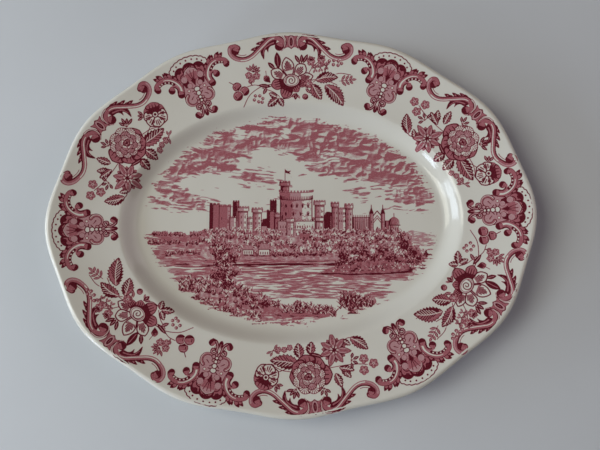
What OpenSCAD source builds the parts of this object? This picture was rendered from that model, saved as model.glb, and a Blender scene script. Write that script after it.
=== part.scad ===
// Oval china serving platter: a fired clay body with a lobed edge, red prints laid
// on the clay, and a clear glaze over both.
//
// Millimetres. The origin is on the table, at the middle of the foot. +X runs along
// the length and +Z up. Every surface is a stack of oval rings. A ring is named by
// its distance out from the shoulder, the crease between the well and the rim.

/* [Overall] */
// Length across the end lobes
length = 305; // [260:1:400]
// Width across the side lobes
width = 244; // [210:1:320]
// Height from the table to the top of the lip
height = 25; // [22:0.5:32]

/* [Rim] */
// How far the lobes swell, as a share of the radius
lobe_share = 0.0095; // [0:0.0005:0.02]
// Width of the rim, from the shoulder to the edge
rim_w = 42; // [38:1:50]
// Rise of the rim, from the shoulder to the lip
rim_rise = 7.8; // [4:0.2:8.4]
// Thickness of the clay at the lip
lip_wall = 4.4; // [3.6:0.2:5]

/* [Well] */
// Width of the curved wall between the floor and the shoulder
cove_w = 14; // [13:0.5:16]
// Thickness of the clay in the curved wall
cove_wall = 5; // [4:0.2:5.6]
// Thickness of the clay in the floor
floor_wall = 5.8; // [5:0.2:6.4]

/* [Foot] */
// Depth of the hollow that the foot surrounds
recess_h = 3.2; // [2.6:0.2:3.6]
// Distance of the foot's outer edge in from the shoulder
foot_inset = 11.4; // [11:0.1:12]
// Width of the bare face that stands on the table
foot_w = 3; // [2.4:0.2:3.6]

/* [Prints and glaze] */
// Distance of the scene print's edge in from the shoulder, a little way up the curved wall
scene_in = 10.5; // [9:0.5:12]
// Gap between the shoulder and the border prints
border_in = 1.5; // [1:0.5:4]
// Plain margin between the border prints and the edge
border_out = 3.6; // [3.4:0.2:8]
// Thickness of a print
print_t = 0.05; // [0.03:0.01:0.08]
// Thickness of the glaze
glaze_t = 0.25; // [0.15:0.05:0.4]

/* [Hidden] */
// Motifs around the border, one under each lobe, by turns a cartouche and a spray
motifs = 12;
// Segments around each ring, a whole number for each motif
motif_segs = 8;
segs = motifs * motif_segs;
// Segments across the curved wall, its part under the scene print, the border prints, the
// lip and the rim's underside
cove_segs = 6;
print_segs = 2;
border_segs = 4;
lip_segs = 5;
under_segs = 3;
// Spreads the lobes evenly along the edge of the oval, in degrees
lobe_spread = 3.14;
// Share of the rim's rise that is straight; the rest curves up towards the lip
rim_straight = 0.5;
// How much more the curved wall curves at its top than at its bottom
cove_lean = 2;
// How far down the curved wall's underside goes before it meets the foot
foot_join = 0.18;
// Height of the foot that is left bare of glaze, and how far its sides lean over it
foot_bare = 0.9;
foot_lean = 0.6;

// Half-length and half-width of the shoulder
shoulder_a = (length / 2 - glaze_t) / (1 + lobe_share) - rim_w;
shoulder_b = (width / 2 - glaze_t) / (1 + lobe_share) - rim_w;

// The lip is a half-round of clay. Its top is a glaze's thickness under the height
lip_r = lip_wall / 2;
lip_tilt = atan((2 - rim_straight) * rim_rise / (rim_w - lip_r));
lip_z = height - glaze_t - lip_r;
rim_run = rim_w - lip_r - lip_r * sin(lip_tilt);
rim_top = lip_z + lip_r * cos(lip_tilt);
shoulder_z = rim_top - rim_rise;
floor_z = recess_h + floor_wall;

clay = "#f3eee4";
ink = "#a8485a";
clear = [0.97, 0.96, 0.93, 0.35];

CARTOUCHES = [for (i = [1:motifs / 2]) str("cartouche_print_", i)];
SPRAYS = [for (i = [1:motifs / 2]) str("spray_print_", i)];

// ---- The section, as [distance from the shoulder, height, direction it faces] ----
// The direction is in degrees from straight up, 90 being outwards and 180 down.

// Height and slope of the rim's face, u going from 0 at the shoulder to 1 at the lip
function rim_z(u) = shoulder_z + rim_rise * (rim_straight * u + (1 - rim_straight) * u * u);
function rim_slope(u) = rim_rise / rim_run * (rim_straight + 2 * (1 - rim_straight) * u);

// The curved wall leaves the floor level and meets the rim at the rim's own slope. It is
// a wide curve at the floor and a tight one at the shoulder
function cove_z(q) =
    floor_z + (shoulder_z - floor_z) * q * q * (3 - 2 * q - cove_lean * pow(1 - q, 2))
    + rim_slope(0) * cove_w * q * q * (q - 1);
function cove_slope(q) =
    (shoulder_z - floor_z) / cove_w * 2 * q * (1 - q) * (3 - cove_lean * (1 - 2 * q))
    + rim_slope(0) * q * (3 * q - 2);

function face(d, z, slope) = [d, z, -atan(slope)];
function cove_face(q) = face(-cove_w * (1 - q), cove_z(q), cove_slope(q));
function rim_face(u) = face(rim_run * u, rim_z(u), rim_slope(u));

// A point moved by t the way that it faces, and the point on the far side of the clay
function grown(p, t) = [p[0] + t * sin(p[2]), p[1] + t * cos(p[2]), p[2]];
function far_side(p, wall) = [p[0] - wall * sin(p[2]), p[1] - wall * cos(p[2]), p[2] + 180];

scene_q = 1 - scene_in / cove_w;
scene_top = [for (i = [0:print_segs]) cove_face(scene_q * i / print_segs)];
cove_top = [for (i = [1:cove_segs]) cove_face(scene_q + (1 - scene_q) * i / cove_segs)];
border_u = [for (i = [0:border_segs]) (border_in
    + (rim_w - border_out - border_in) * i / border_segs) / rim_run];
border_top = [for (u = border_u) rim_face(u)];
lip = [for (i = [0:lip_segs]) let (n = -lip_tilt + 180 * i / lip_segs)
    [rim_w - lip_r + lip_r * sin(n), lip_z + lip_r * cos(n), n]];
rim_under = [for (i = [under_segs - 1:-1:0]) let (u = i / under_segs)
    far_side(rim_face(u), lip_wall + (cove_wall - lip_wall) * (1 - u))];
cove_under = [for (i = [3:-1:1]) let (q = foot_join + (1 - foot_join) * i / 4)
    far_side(cove_face(q), cove_wall)];
foot_top = [let (p = far_side(cove_face(foot_join), cove_wall)) [p[0], p[1], 125]];
foot_side = [[foot_lean - foot_inset, foot_bare, 100]];
foot_face = [[-foot_inset, 0, 180], [-foot_inset - foot_w, 0, 180]];
foot_inner = [[-foot_inset - foot_w - foot_lean, foot_bare, 260]];
recess_edge = [[-foot_inset - foot_w - 2 * foot_lean, recess_h, 215]];

// All the clay's rings, from the floor over the lip and round to the foot
outer_rings = concat(scene_top, cove_top, border_top, lip, rim_under, cove_under, foot_top,
    foot_side);
clay_rings = concat(outer_rings, foot_face, foot_inner, recess_edge);

// The glaze lies on the clay, except where it steps up over the prints
function over(rings) = [for (p = rings) grown(p, print_t)];
before_border = concat([scene_top[print_segs]], cove_top, [border_top[0]]);
after_border = concat([border_top[border_segs]], lip, rim_under, cove_under, foot_top,
    foot_side);
glaze_outside = [for (p = outer_rings) grown(p, glaze_t)];
glaze_inside = concat(over(scene_top), before_border, over(border_top), after_border);

// ---- Rings in space ----

// Angle around the oval for an even step along its edge
function around(turn) = turn + lobe_spread * sin(2 * turn);
// The lobes start at the shoulder and are full at the edge
function swell(d) = lobe_share * pow(max(0, d) / rim_w, 2);
function ring_point(p, turn) =
    let (s = 1 + swell(p[0]) * cos(motifs * turn), f = around(turn))
    [(shoulder_a + p[0]) * cos(f) * s, (shoulder_b + p[0]) * sin(f) * s, p[1]];
function ring(p) = [for (i = [0:segs - 1]) ring_point(p, 360 * i / segs)];

// Triangles between two rows of n points, facing up where second lies outside first. A
// closed row joins its last point to its first. A row that doubles back over another one
// cuts its quads across the same way as that one does, so that the two lie face to face.
function quad(a, b, c, d, back) = back ? [[a, b, d], [a, d, c]] : [[a, b, c], [b, d, c]];
function strip(first, second, n, closed, back) = [for (i = [0:n - (closed ? 1 : 2)])
    let (j = (i + 1) % n)
    each quad(first + i, first + j, second + i, second + j, back)];

// A solid of rings, each a list of points, with a flat face on the first and the last.
// From the ring numbered turn on, the rings double back
module ring_solid(rings, turn) {
    n = len(rings[0]);
    last = (len(rings) - 1) * n;
    polyhedron(
        points = [for (r = rings) each r],
        faces = concat(
            [[for (i = [0:n - 1]) n - 1 - i]],
            [for (k = [0:len(rings) - 2]) each strip(k * n, (k + 1) * n, n, true, k >= turn)],
            [[for (i = [0:n - 1]) last + i]]
        ),
        convexity = 6
    );
}

module body() {
    color(clay) ring_solid([for (p = clay_rings) ring(p)], len(clay_rings));
}

// Over the face of the platter, round the lip and down the back to the bare foot
module glaze_front() {
    outside = [for (p = glaze_outside) ring(p)];
    inside = [for (i = [len(glaze_inside) - 1:-1:0]) ring(glaze_inside[i])];
    color(clear) ring_solid(concat(outside, inside), len(outside));
}

// The hollow inside the foot
module glaze_back() {
    inside = [for (p = concat(recess_edge, foot_inner)) ring(p)];
    outside = [for (p = concat(foot_inner, recess_edge)) ring(grown(p, glaze_t))];
    color(clear) ring_solid(concat(inside, outside), 0);
}

module scene_print() {
    top = [for (p = over(scene_top)) ring(p)];
    bottom = [for (i = [print_segs:-1:0]) ring(scene_top[i])];
    color(ink) ring_solid(concat(top, bottom), len(top));
}

// One patch of the border, centred on the given motif: rows of points on the clay, the
// same rows over them, and strips that close the four edges
module border_patch(motif) {
    turns = [for (i = [0:motif_segs]) 360 * (motif + i / motif_segs - 0.5) / motifs];
    n = len(turns);
    m = border_segs + 1;
    bottom = border_top;
    top = over(border_top);
    points = concat(
        [for (p = bottom) each [for (t = turns) ring_point(p, t)]],
        [for (p = top) each [for (t = turns) ring_point(p, t)]]
    );
    function at(row, column) = row * n + column;
    low_side = [for (k = [0:m - 2]) each strip(at(k + 1, 0), at(k, 0), n, false, true)];
    high_side = [for (k = [0:m - 2])
        each strip(at(m + k, 0), at(m + k + 1, 0), n, false, false)];
    inner_end = strip(at(0, 0), at(m, 0), n, false, false);
    outer_end = strip(at(2 * m - 1, 0), at(m - 1, 0), n, false, false);
    start_end = [for (k = [0:m - 2]) each [
        [at(k, 0), at(m + k, 0), at(k + 1, 0)],
        [at(m + k, 0), at(m + k + 1, 0), at(k + 1, 0)]]];
    finish_end = [for (k = [0:m - 2]) each [
        [at(k + 1, n - 1), at(m + k, n - 1), at(k, n - 1)],
        [at(m + k + 1, n - 1), at(m + k, n - 1), at(k + 1, n - 1)]]];
    polyhedron(
        points = points,
        faces = concat(low_side, high_side, inner_end, outer_end, start_end, finish_end),
        convexity = 4
    );
}

// Cartouche 1 is at the +X end, and the numbers go on towards +Y
module cartouche_print(i) {
    color(ink) border_patch(2 * i - 2);
}

// Spray 1 lies between cartouches 1 and 2
module spray_print(i) {
    color(ink) border_patch(2 * i - 1);
}

body();
glaze_front();
glaze_back();
scene_print();
for (i = [1:motifs / 2]) {
    cartouche_print(i);
    spray_print(i);
}
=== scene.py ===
import bpy
import numpy as np
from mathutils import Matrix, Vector


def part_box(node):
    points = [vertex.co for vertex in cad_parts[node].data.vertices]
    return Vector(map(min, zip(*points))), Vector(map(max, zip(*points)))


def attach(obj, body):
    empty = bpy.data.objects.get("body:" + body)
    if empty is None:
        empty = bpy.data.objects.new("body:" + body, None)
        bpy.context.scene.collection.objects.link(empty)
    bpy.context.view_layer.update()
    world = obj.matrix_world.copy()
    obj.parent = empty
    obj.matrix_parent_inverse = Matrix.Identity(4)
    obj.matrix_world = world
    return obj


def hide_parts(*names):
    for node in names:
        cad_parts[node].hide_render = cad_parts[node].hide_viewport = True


# An oval china platter with a red print under its glaze. The glazed clay is one smooth
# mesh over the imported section, and the prints are thin films of ink in three tones, cut
# out of artwork that this script draws. Lengths are in millimetres until a mesh is made.

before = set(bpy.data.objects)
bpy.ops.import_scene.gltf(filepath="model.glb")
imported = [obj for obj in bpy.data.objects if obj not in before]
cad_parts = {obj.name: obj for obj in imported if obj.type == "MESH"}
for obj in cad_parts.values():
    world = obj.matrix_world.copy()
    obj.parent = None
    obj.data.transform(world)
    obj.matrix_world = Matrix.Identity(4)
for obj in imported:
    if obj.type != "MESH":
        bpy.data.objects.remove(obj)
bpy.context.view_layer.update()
MM = 0.001

# ---- The section, as in the part: a ring is named by its distance out from the shoulder ----

GLAZE = 0.25  # thickness of the glaze
LOBE = 0.0095  # swell of the lobes, as a share of the radius
LOBES = 12
SPREAD = 3.14  # spreads the lobes evenly along the edge, in degrees
RIM = 42.0  # from the shoulder to the edge
RIM_RISE = 7.8
STRAIGHT = 0.5  # share of the rim's rise that is straight
LIP = 2.2  # radius of the clay's rounded edge
COVE = 14.0  # width of the curved wall between the floor and the shoulder
COVE_LEAN = 2.0  # how much more it curves at its top than at its bottom
COVE_WALL = 5.0
RECESS = 3.2  # depth of the hollow inside the foot
FLOOR_WALL = 5.8
FOOT_INSET = 11.4
FOOT = 3.0  # width of the bare face that stands on the table
FOOT_BARE = 0.9
FOOT_LEAN = 0.6

half_length, half_width, height = (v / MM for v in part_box("glaze_front")[1])
A = (half_length - GLAZE) / (1 + LOBE) - RIM  # the shoulder's half-length
B = (half_width - GLAZE) / (1 + LOBE) - RIM  # and half-width
TILT = np.arctan((2 - STRAIGHT) * RIM_RISE / (RIM - LIP))
LIP_Z = height - GLAZE - LIP
RUN = RIM - LIP - LIP * np.sin(TILT)
SHOULDER_Z = LIP_Z + LIP * np.cos(TILT) - RIM_RISE
FLOOR_Z = RECESS + FLOOR_WALL


def rim_face(d):
    """Height and slope of the clay's face on the rim."""
    u = d / RUN
    z = SHOULDER_Z + RIM_RISE * (STRAIGHT * u + (1 - STRAIGHT) * u * u)
    return z, RIM_RISE / RUN * (STRAIGHT + 2 * (1 - STRAIGHT) * u)


def cove_face(d):
    """Height and slope of the clay's face between the floor and the shoulder."""
    q = 1 + d / COVE
    start = RIM_RISE / RUN * STRAIGHT
    rise = SHOULDER_Z - FLOOR_Z
    z = FLOOR_Z + rise * q * q * (3 - 2 * q - COVE_LEAN * (1 - q) ** 2) + start * COVE * q * q * (q - 1)
    slope = rise / COVE * 2 * q * (1 - q) * (3 - COVE_LEAN * (1 - 2 * q)) + start * q * (3 * q - 2)
    return z, slope


def face(d):
    """Height and slope of the clay's face at any distance from the shoulder."""
    d = np.asarray(d, float)
    z_rim, s_rim = rim_face(np.clip(d, 0, RUN))
    z_cove, s_cove = cove_face(np.clip(d, -COVE, 0))
    return np.where(d > 0, z_rim, z_cove), np.where(d > 0, s_rim, s_cove)


def around(turn):
    """The oval's own angle for a turn in radians, so that even turns lie evenly along the edge."""
    return turn + np.radians(SPREAD) * np.sin(2 * turn)


def swelling(d, turn):
    return 1 + LOBE * (np.maximum(0, d) / RIM) ** 2 * np.cos(LOBES * turn)


def locate(x, y):
    """The distance out from the shoulder and the turn of points in plan."""
    d, turn = np.zeros_like(x), np.arctan2(y, x)
    for _ in range(7):
        s = swelling(d, turn)
        p, q = x / s, y / s
        over = (p / (A + d)) ** 2 + (q / (B + d)) ** 2 - 1
        slope = -2 * (p * p / (A + d) ** 3 + q * q / (B + d) ** 3)
        d = np.clip(d - over / slope, -0.7 * B, RIM + 2)
        angle = np.arctan2(q / (B + d), p / (A + d))
        turn = angle - np.radians(SPREAD) * np.sin(2 * turn)
    return d, turn


def mesh_object(name, points, faces, materials, slots=None, normals=None, body="root"):
    """A piece from points in millimetres and faces, a list of arrays of one size each."""
    mesh = bpy.data.meshes.new(name)
    mesh.vertices.add(len(points))
    mesh.vertices.foreach_set("co", (np.asarray(points) * MM).ravel().astype(np.float32))
    sizes = np.concatenate([np.full(len(f), f.shape[1]) for f in faces])
    mesh.loops.add(int(sizes.sum()))
    mesh.loops.foreach_set("vertex_index", np.concatenate([f.ravel() for f in faces]).astype(np.int32))
    mesh.polygons.add(len(sizes))
    mesh.polygons.foreach_set("loop_start", (np.cumsum(sizes) - sizes).astype(np.int32))
    mesh.polygons.foreach_set("loop_total", sizes.astype(np.int32))
    mesh.polygons.foreach_set("use_smooth", np.ones(len(sizes), bool))
    for material in materials:
        mesh.materials.append(material)
    if slots is not None:
        mesh.polygons.foreach_set("material_index", np.asarray(slots, np.int32))
    mesh.update(calc_edges=True)
    mesh.validate()
    if normals is not None:
        mesh.normals_split_custom_set_from_vertices(normals)
    obj = bpy.data.objects.new(name, mesh)
    bpy.context.scene.collection.objects.link(obj)
    if body:
        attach(obj, body)
    return obj


# ---- The print engine: ink on a sheet of transfer paper, in millimetres ----

BARE, PALE, MIDDLE, DARK = 0.0, 0.3, 0.6, 1.0


class Sheet:
    """A sheet of transfer paper on a square grid: how much ink each spot has, and whether
    anything was drawn there, bare paper included."""

    def __init__(self, low, high, pitch):
        self.low, self.pitch = np.array(low, float), pitch
        nx, ny = (np.ceil((np.array(high) - self.low) / pitch)).astype(int) + 1
        self.ink, self.cover = np.zeros((ny, nx)), np.zeros((ny, nx))

    def window(self, points, pad):
        """The part of the sheet around some points, and its x and y, or None."""
        shape = np.array(self.ink.shape[::-1])
        lo = np.floor((points.min(0) - pad - self.low) / self.pitch).astype(int)
        hi = np.ceil((points.max(0) + pad - self.low) / self.pitch).astype(int) + 1
        lo, hi = np.clip(lo, 0, shape), np.clip(hi, 0, shape)
        if (hi <= lo).any():
            return None
        x = self.low[0] + self.pitch * np.arange(lo[0], hi[0])
        y = self.low[1] + self.pitch * np.arange(lo[1], hi[1])
        return (slice(lo[1], hi[1]), slice(lo[0], hi[0])), x[None, :], y[:, None]

    def lay(self, part, x, y, amount, tone):
        """Covers part of the sheet. tone is a number or a function of x and y."""
        tone = tone(x, y) if callable(tone) else tone
        self.ink[part] += (tone - self.ink[part]) * amount
        self.cover[part] = np.maximum(self.cover[part], amount)

    def fill(self, outline, tone):
        """Fills a closed outline."""
        p = np.asarray(outline, float)
        found = self.window(p, self.pitch)
        if found is None:
            return
        part, x, y = found
        inside = np.zeros(np.broadcast(x, y).shape, bool)
        near = np.full(inside.shape, 1e9)
        for a, b in zip(p, np.roll(p, -1, 0)):
            d = b - a
            if a[1] != b[1]:
                crosses = ((y > a[1]) != (y > b[1])) & (x < a[0] + (y - a[1]) * d[0] / d[1])
                inside ^= crosses
            t = np.clip(((x - a[0]) * d[0] + (y - a[1]) * d[1]) / (d @ d + 1e-12), 0, 1)
            near = np.minimum(near, (x - a[0] - t * d[0]) ** 2 + (y - a[1] - t * d[1]) ** 2)
        depth = np.sqrt(near) * np.where(inside, 1, -1)
        self.lay(part, x, y, np.clip(depth / self.pitch + 0.5, 0, 1), tone)

    def line(self, points, width, tone, end_width=None):
        """Draws a line through points, its width going evenly to end_width if given."""
        p = np.asarray(points, float)
        widths = np.linspace(width, width if end_width is None else end_width, len(p))
        found = self.window(p, max(widths[0], widths[-1]) / 2 + self.pitch)
        if found is None:
            return
        part, x, y = found
        reach = np.full(np.broadcast(x, y).shape, -1e9)
        for a, b, wa, wb in zip(p, p[1:], widths, widths[1:]):
            d = b - a
            t = np.clip(((x - a[0]) * d[0] + (y - a[1]) * d[1]) / (d @ d + 1e-12), 0, 1)
            away = np.hypot(x - a[0] - t * d[0], y - a[1] - t * d[1])
            reach = np.maximum(reach, (wa + t * (wb - wa)) / 2 - away)
        self.lay(part, x, y, np.clip(reach / self.pitch + 0.5, 0, 1), tone)

    def disc(self, centre, radius, tone):
        self.line([centre, centre], 2 * radius, tone)

    def stamp(self, other, u, v):
        """Lays another sheet over this one. u and v are where each spot falls on it."""
        gu, gv = (u - other.low[0]) / other.pitch, (v - other.low[1]) / other.pitch
        ny, nx = other.ink.shape
        on = (gu >= 0) & (gv >= 0) & (gu < nx - 1) & (gv < ny - 1)
        i, j = gu[on].astype(int), gv[on].astype(int)
        fu, fv = gu[on] - i, gv[on] - j
        ink, cover = (
            (1 - fv) * ((1 - fu) * s[j, i] + fu * s[j, i + 1])
            + fv * ((1 - fu) * s[j + 1, i] + fu * s[j + 1, i + 1])
            for s in (other.ink, other.cover)
        )
        self.ink[on] += (ink - self.ink[on]) * cover
        self.cover[on] = np.maximum(self.cover[on], cover)


def turned(degrees):
    a = np.radians(degrees)
    return np.array([np.cos(a), np.sin(a)])


def arc(centre, radius, start, end, n=24):
    """Points on an arc, in degrees. radius may be a pair, for an oval."""
    a = np.radians(np.linspace(start, end, n))
    return np.array(centre) + np.array(radius) * np.stack([np.cos(a), np.sin(a)], 1)


def curve(points, steps=8, closed=False):
    """A smooth curve through points."""
    p = np.asarray(points, float)
    if closed:
        p = np.concatenate([p[-1:], p, p[:2]])
    else:
        p = np.concatenate([2 * p[:1] - p[1:2], p, 2 * p[-1:] - p[-2:-1]])
    t = np.linspace(0, 1, steps, endpoint=False)[:, None]
    out = []
    for a, b, c, d in zip(p, p[1:], p[2:], p[3:]):
        out.append(
            b + t / 2 * (c - a + t * (2 * a - 5 * b + 4 * c - d + t * (3 * (b - c) + d - a)))
        )
    return np.concatenate(out + ([] if closed else [p[-2:-1]]))


def beside(points, offset):
    """A curve to the left of another. offset is a number or one for each point."""
    p = np.asarray(points, float)
    along = np.gradient(p, axis=0)
    along /= np.linalg.norm(along, axis=1, keepdims=True) + 1e-9
    return p + np.stack([-along[:, 1], along[:, 0]], 1) * np.reshape(offset, (-1, 1))


def spiral(centre, outer, inner, start, sweep, n=40):
    """Points winding in from the outer to the inner radius."""
    a = np.radians(start + sweep * np.linspace(0, 1, n))
    r = outer + (inner - outer) * np.linspace(0, 1, n) ** 0.8
    return np.array(centre) + r[:, None] * np.stack([np.cos(a), np.sin(a)], 1)


def fade(start, end, first, last):
    """A tone that goes from first at the point start to last at the point end."""
    start, way = np.array(start, float), np.subtract(end, start)
    return lambda x, y: first + (last - first) * np.clip(
        ((x - start[0]) * way[0] + (y - start[1]) * way[1]) / (way @ way), 0, 1
    )


def petal_outline(base, tip, width, fullness=0.55, teeth=0, depth=0.18, n=26, bend=0.0):
    """The outline of a petal or leaf, widest at fullness of the way, with its midrib."""
    base, tip = np.array(base, float), np.array(tip, float)
    way = tip - base
    side = np.array([-way[1], way[0]]) / np.hypot(*way)
    t = np.linspace(0, 1, n)
    rib = base + t[:, None] * way + side * (bend * np.sin(np.pi * t))[:, None]
    shape = np.sin(np.pi * t ** (np.log(0.5) / np.log(fullness))) ** 0.8
    if teeth:
        shape = shape * (1 - depth + depth * 2 * ((t * teeth) % 1))
    half = (width / 2 * shape)[:, None] * side
    return np.concatenate([rib + half, (rib - half)[::-1]]), rib, side


# ---- The border's motifs. Each is drawn upright: u to the right, v outwards, from the
# ---- shoulder at v = 0 to the platter's edge at v = RIM ----

FINE, THIN, PEN = 0.38, 0.5, 0.65  # widths of lines


def mirrored(points):
    return np.asarray(points, float) * (-1, 1)


def leaf(s, base, tip, width, teeth=7, veins=6, bend=0.0, tone=0.7, dark_side=1):
    """A serrated leaf with one dark side, a bare midrib and veins."""
    outline, rib, side = petal_outline(base, tip, width, 0.45, teeth, bend=bend, n=teeth * 5 + 1)
    s.fill(outline, tone)
    half = len(rib)
    dark = outline[:half] if dark_side > 0 else outline[half:][::-1]
    s.fill(np.concatenate([rib, dark[::-1]]), fade(base, tip, 0.75, 1.0))
    for t in np.linspace(0.22, 0.78, veins):
        at = rib[int(t * (half - 1))]
        ahead = (rib[-1] - rib[0]) * 0.16
        for way in (-1, 1):
            reach = side * way * width * 0.36 * np.sin(np.pi * t)
            s.line([at, at + reach + ahead], FINE, BARE if way == dark_side else DARK)
    s.line(rib[: int(half * 0.92)], THIN, BARE)
    s.line(np.concatenate([outline, outline[:1]]), FINE, DARK)


def small_leaf(s, base, tip, width, tone=0.8, vein=True):
    outline, rib, _ = petal_outline(base, tip, width, 0.5, n=12)
    s.fill(outline, tone)
    if vein:
        s.line(rib[2:-3], FINE, PALE)


def leaf_spray(s, root, directions, length, width, tone=0.85):
    """Small leaves out of one point, one for each direction in degrees."""
    for k, a in enumerate(directions):
        reach = length * (1 - 0.12 * (k % 2))
        small_leaf(s, np.add(root, 0.25 * reach * turned(a)), np.add(root, reach * turned(a)), width, tone)
        s.line([root, np.add(root, 0.4 * reach * turned(a))], FINE, DARK)


def fern(s, base, tip, pairs, size):
    """A stem with leaflets in pairs and one at its end."""
    base, tip = np.array(base, float), np.array(tip, float)
    way = np.degrees(np.arctan2(*(tip - base)[::-1]))
    s.line([base, tip], FINE, DARK)
    for k in range(pairs):
        at = base + (tip - base) * (k + 0.6) / pairs
        for turn in (-52, 52):
            small_leaf(s, at, at + size * (1 - 0.35 * k / pairs) * turned(way + turn), size * 0.38)
    small_leaf(s, tip, tip + size * 0.8 * turned(way), size * 0.36)


def stem(s, points, width=THIN, tone=0.9):
    s.line(curve(points), width, tone)


def berries(s, centre, places, radius=1.05):
    for du, dv in places:
        at = np.array(centre) + (du, dv)
        s.disc(at, radius, DARK)
        s.disc(at + (0.05, 0.1), radius - 0.28, MIDDLE)
        s.disc(at + (0.25, 0.3), 0.32, BARE)


def plum(s, centre, radius):
    c = np.array(centre)
    s.disc(c, radius + 0.35, BARE)
    s.disc(c, radius, DARK)
    s.fill(arc(c, radius - 0.3, 0, 360, 40), fade(c + (-radius, radius), c + (radius, -radius), 0.42, 1.0))
    s.line(arc(c + (0.3 * radius, 0.2 * radius), radius * 0.85, 120, 225, 14), FINE, DARK)
    s.line(arc(c, radius * 0.62, 100, 170, 10), THIN, PALE, FINE)


def blossom(s, centre, radius, petals=5, turn=0.0):
    """A small round flower of scalloped petals with a dotted eye."""
    c = np.array(centre)
    for k in range(petals):
        a = turn + 360 * k / petals
        at = c + 0.58 * radius * turned(a)
        s.disc(at, radius * 0.48, DARK)
        s.disc(at, radius * 0.48 - 0.24, MIDDLE)
        s.line([c + 0.3 * radius * turned(a), c + 0.85 * radius * turned(a)], FINE, PALE)
    s.disc(c, radius * 0.26, BARE)
    s.disc(c, radius * 0.13, DARK)


def hatched_petal(s, centre, tip, width, fullness=0.6, hatches=7, tone=0.12, shade=DARK):
    """A light petal with a dark outline and lines that run out from the flower's centre."""
    outline, rib, side = petal_outline(centre, tip, width, fullness, n=22)
    s.fill(outline, tone)
    s.line(np.concatenate([outline, outline[:1]]), PEN, shade)
    for k in range(hatches):
        w = (k - (hatches - 1) / 2) / hatches * width * 0.86
        far = rib[-1] - (rib[-1] - rib[0]) * (0.16 + 0.5 * abs(2 * w / width) ** 1.6)
        near = rib[0] + (rib[-1] - rib[0]) * 0.45
        s.line([far + side * w, near + side * w * 0.75], 0.6, DARK, FINE)


def dark_petal(s, base, tip, width, fullness=0.62, light=0.5):
    """A petal in deep tone that gets lighter towards its edge."""
    outline, rib, _ = petal_outline(base, tip, width, fullness, n=22)
    s.fill(outline, DARK)
    inner, _, _ = petal_outline(rib[2], rib[-2], width * 0.86, fullness, n=22)
    s.fill(inner, fade(base, tip, 1.15, light))
    for w in (-0.2, 0, 0.2):
        s.line(beside(rib, w * width)[len(rib) // 3: -4], FINE, DARK)


def passion_flower(s, c):
    """A large open flower: light hatched petals above, deep petals below, a ringed eye."""
    c = np.array(c, float)
    hatched_petal(s, c, c + (14.0, 2.6), 6.0, 0.66)
    dark_petal(s, c, c + (10.2, -3.2), 5.0)
    dark_petal(s, c, c + (4.4, -7.6), 6.2)
    dark_petal(s, c, c + (-5.4, -11.6), 8.2, 0.6)
    s.line(curve([c + (-5.6, -11.8), c + (-1.5, -11.2), c + (1.8, -8.4)]), THIN, DARK)
    dark_petal(s, c, c + (-13.2, -3.4), 7.4, 0.7)
    hatched_petal(s, c, c + (-13.0, 6.4), 7.0, 0.7)
    hatched_petal(s, c, c + (8.8, 10.0), 7.4, 0.72)
    hatched_petal(s, c, c + (-3.4, 14.6), 7.6, 0.62, 8)
    s.fill(arc(c, (5.4, 4.2), 0, 360, 44), DARK)
    s.fill(arc(c, (4.9, 3.7), 0, 360, 44), BARE)
    s.line(spiral(c, 3.6, 0.5, 200, -610, 60) * (1, 1), 0.5, DARK)
    s.line(arc(c, (4.25, 3.15), 0, 360, 44), FINE, MIDDLE)


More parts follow.
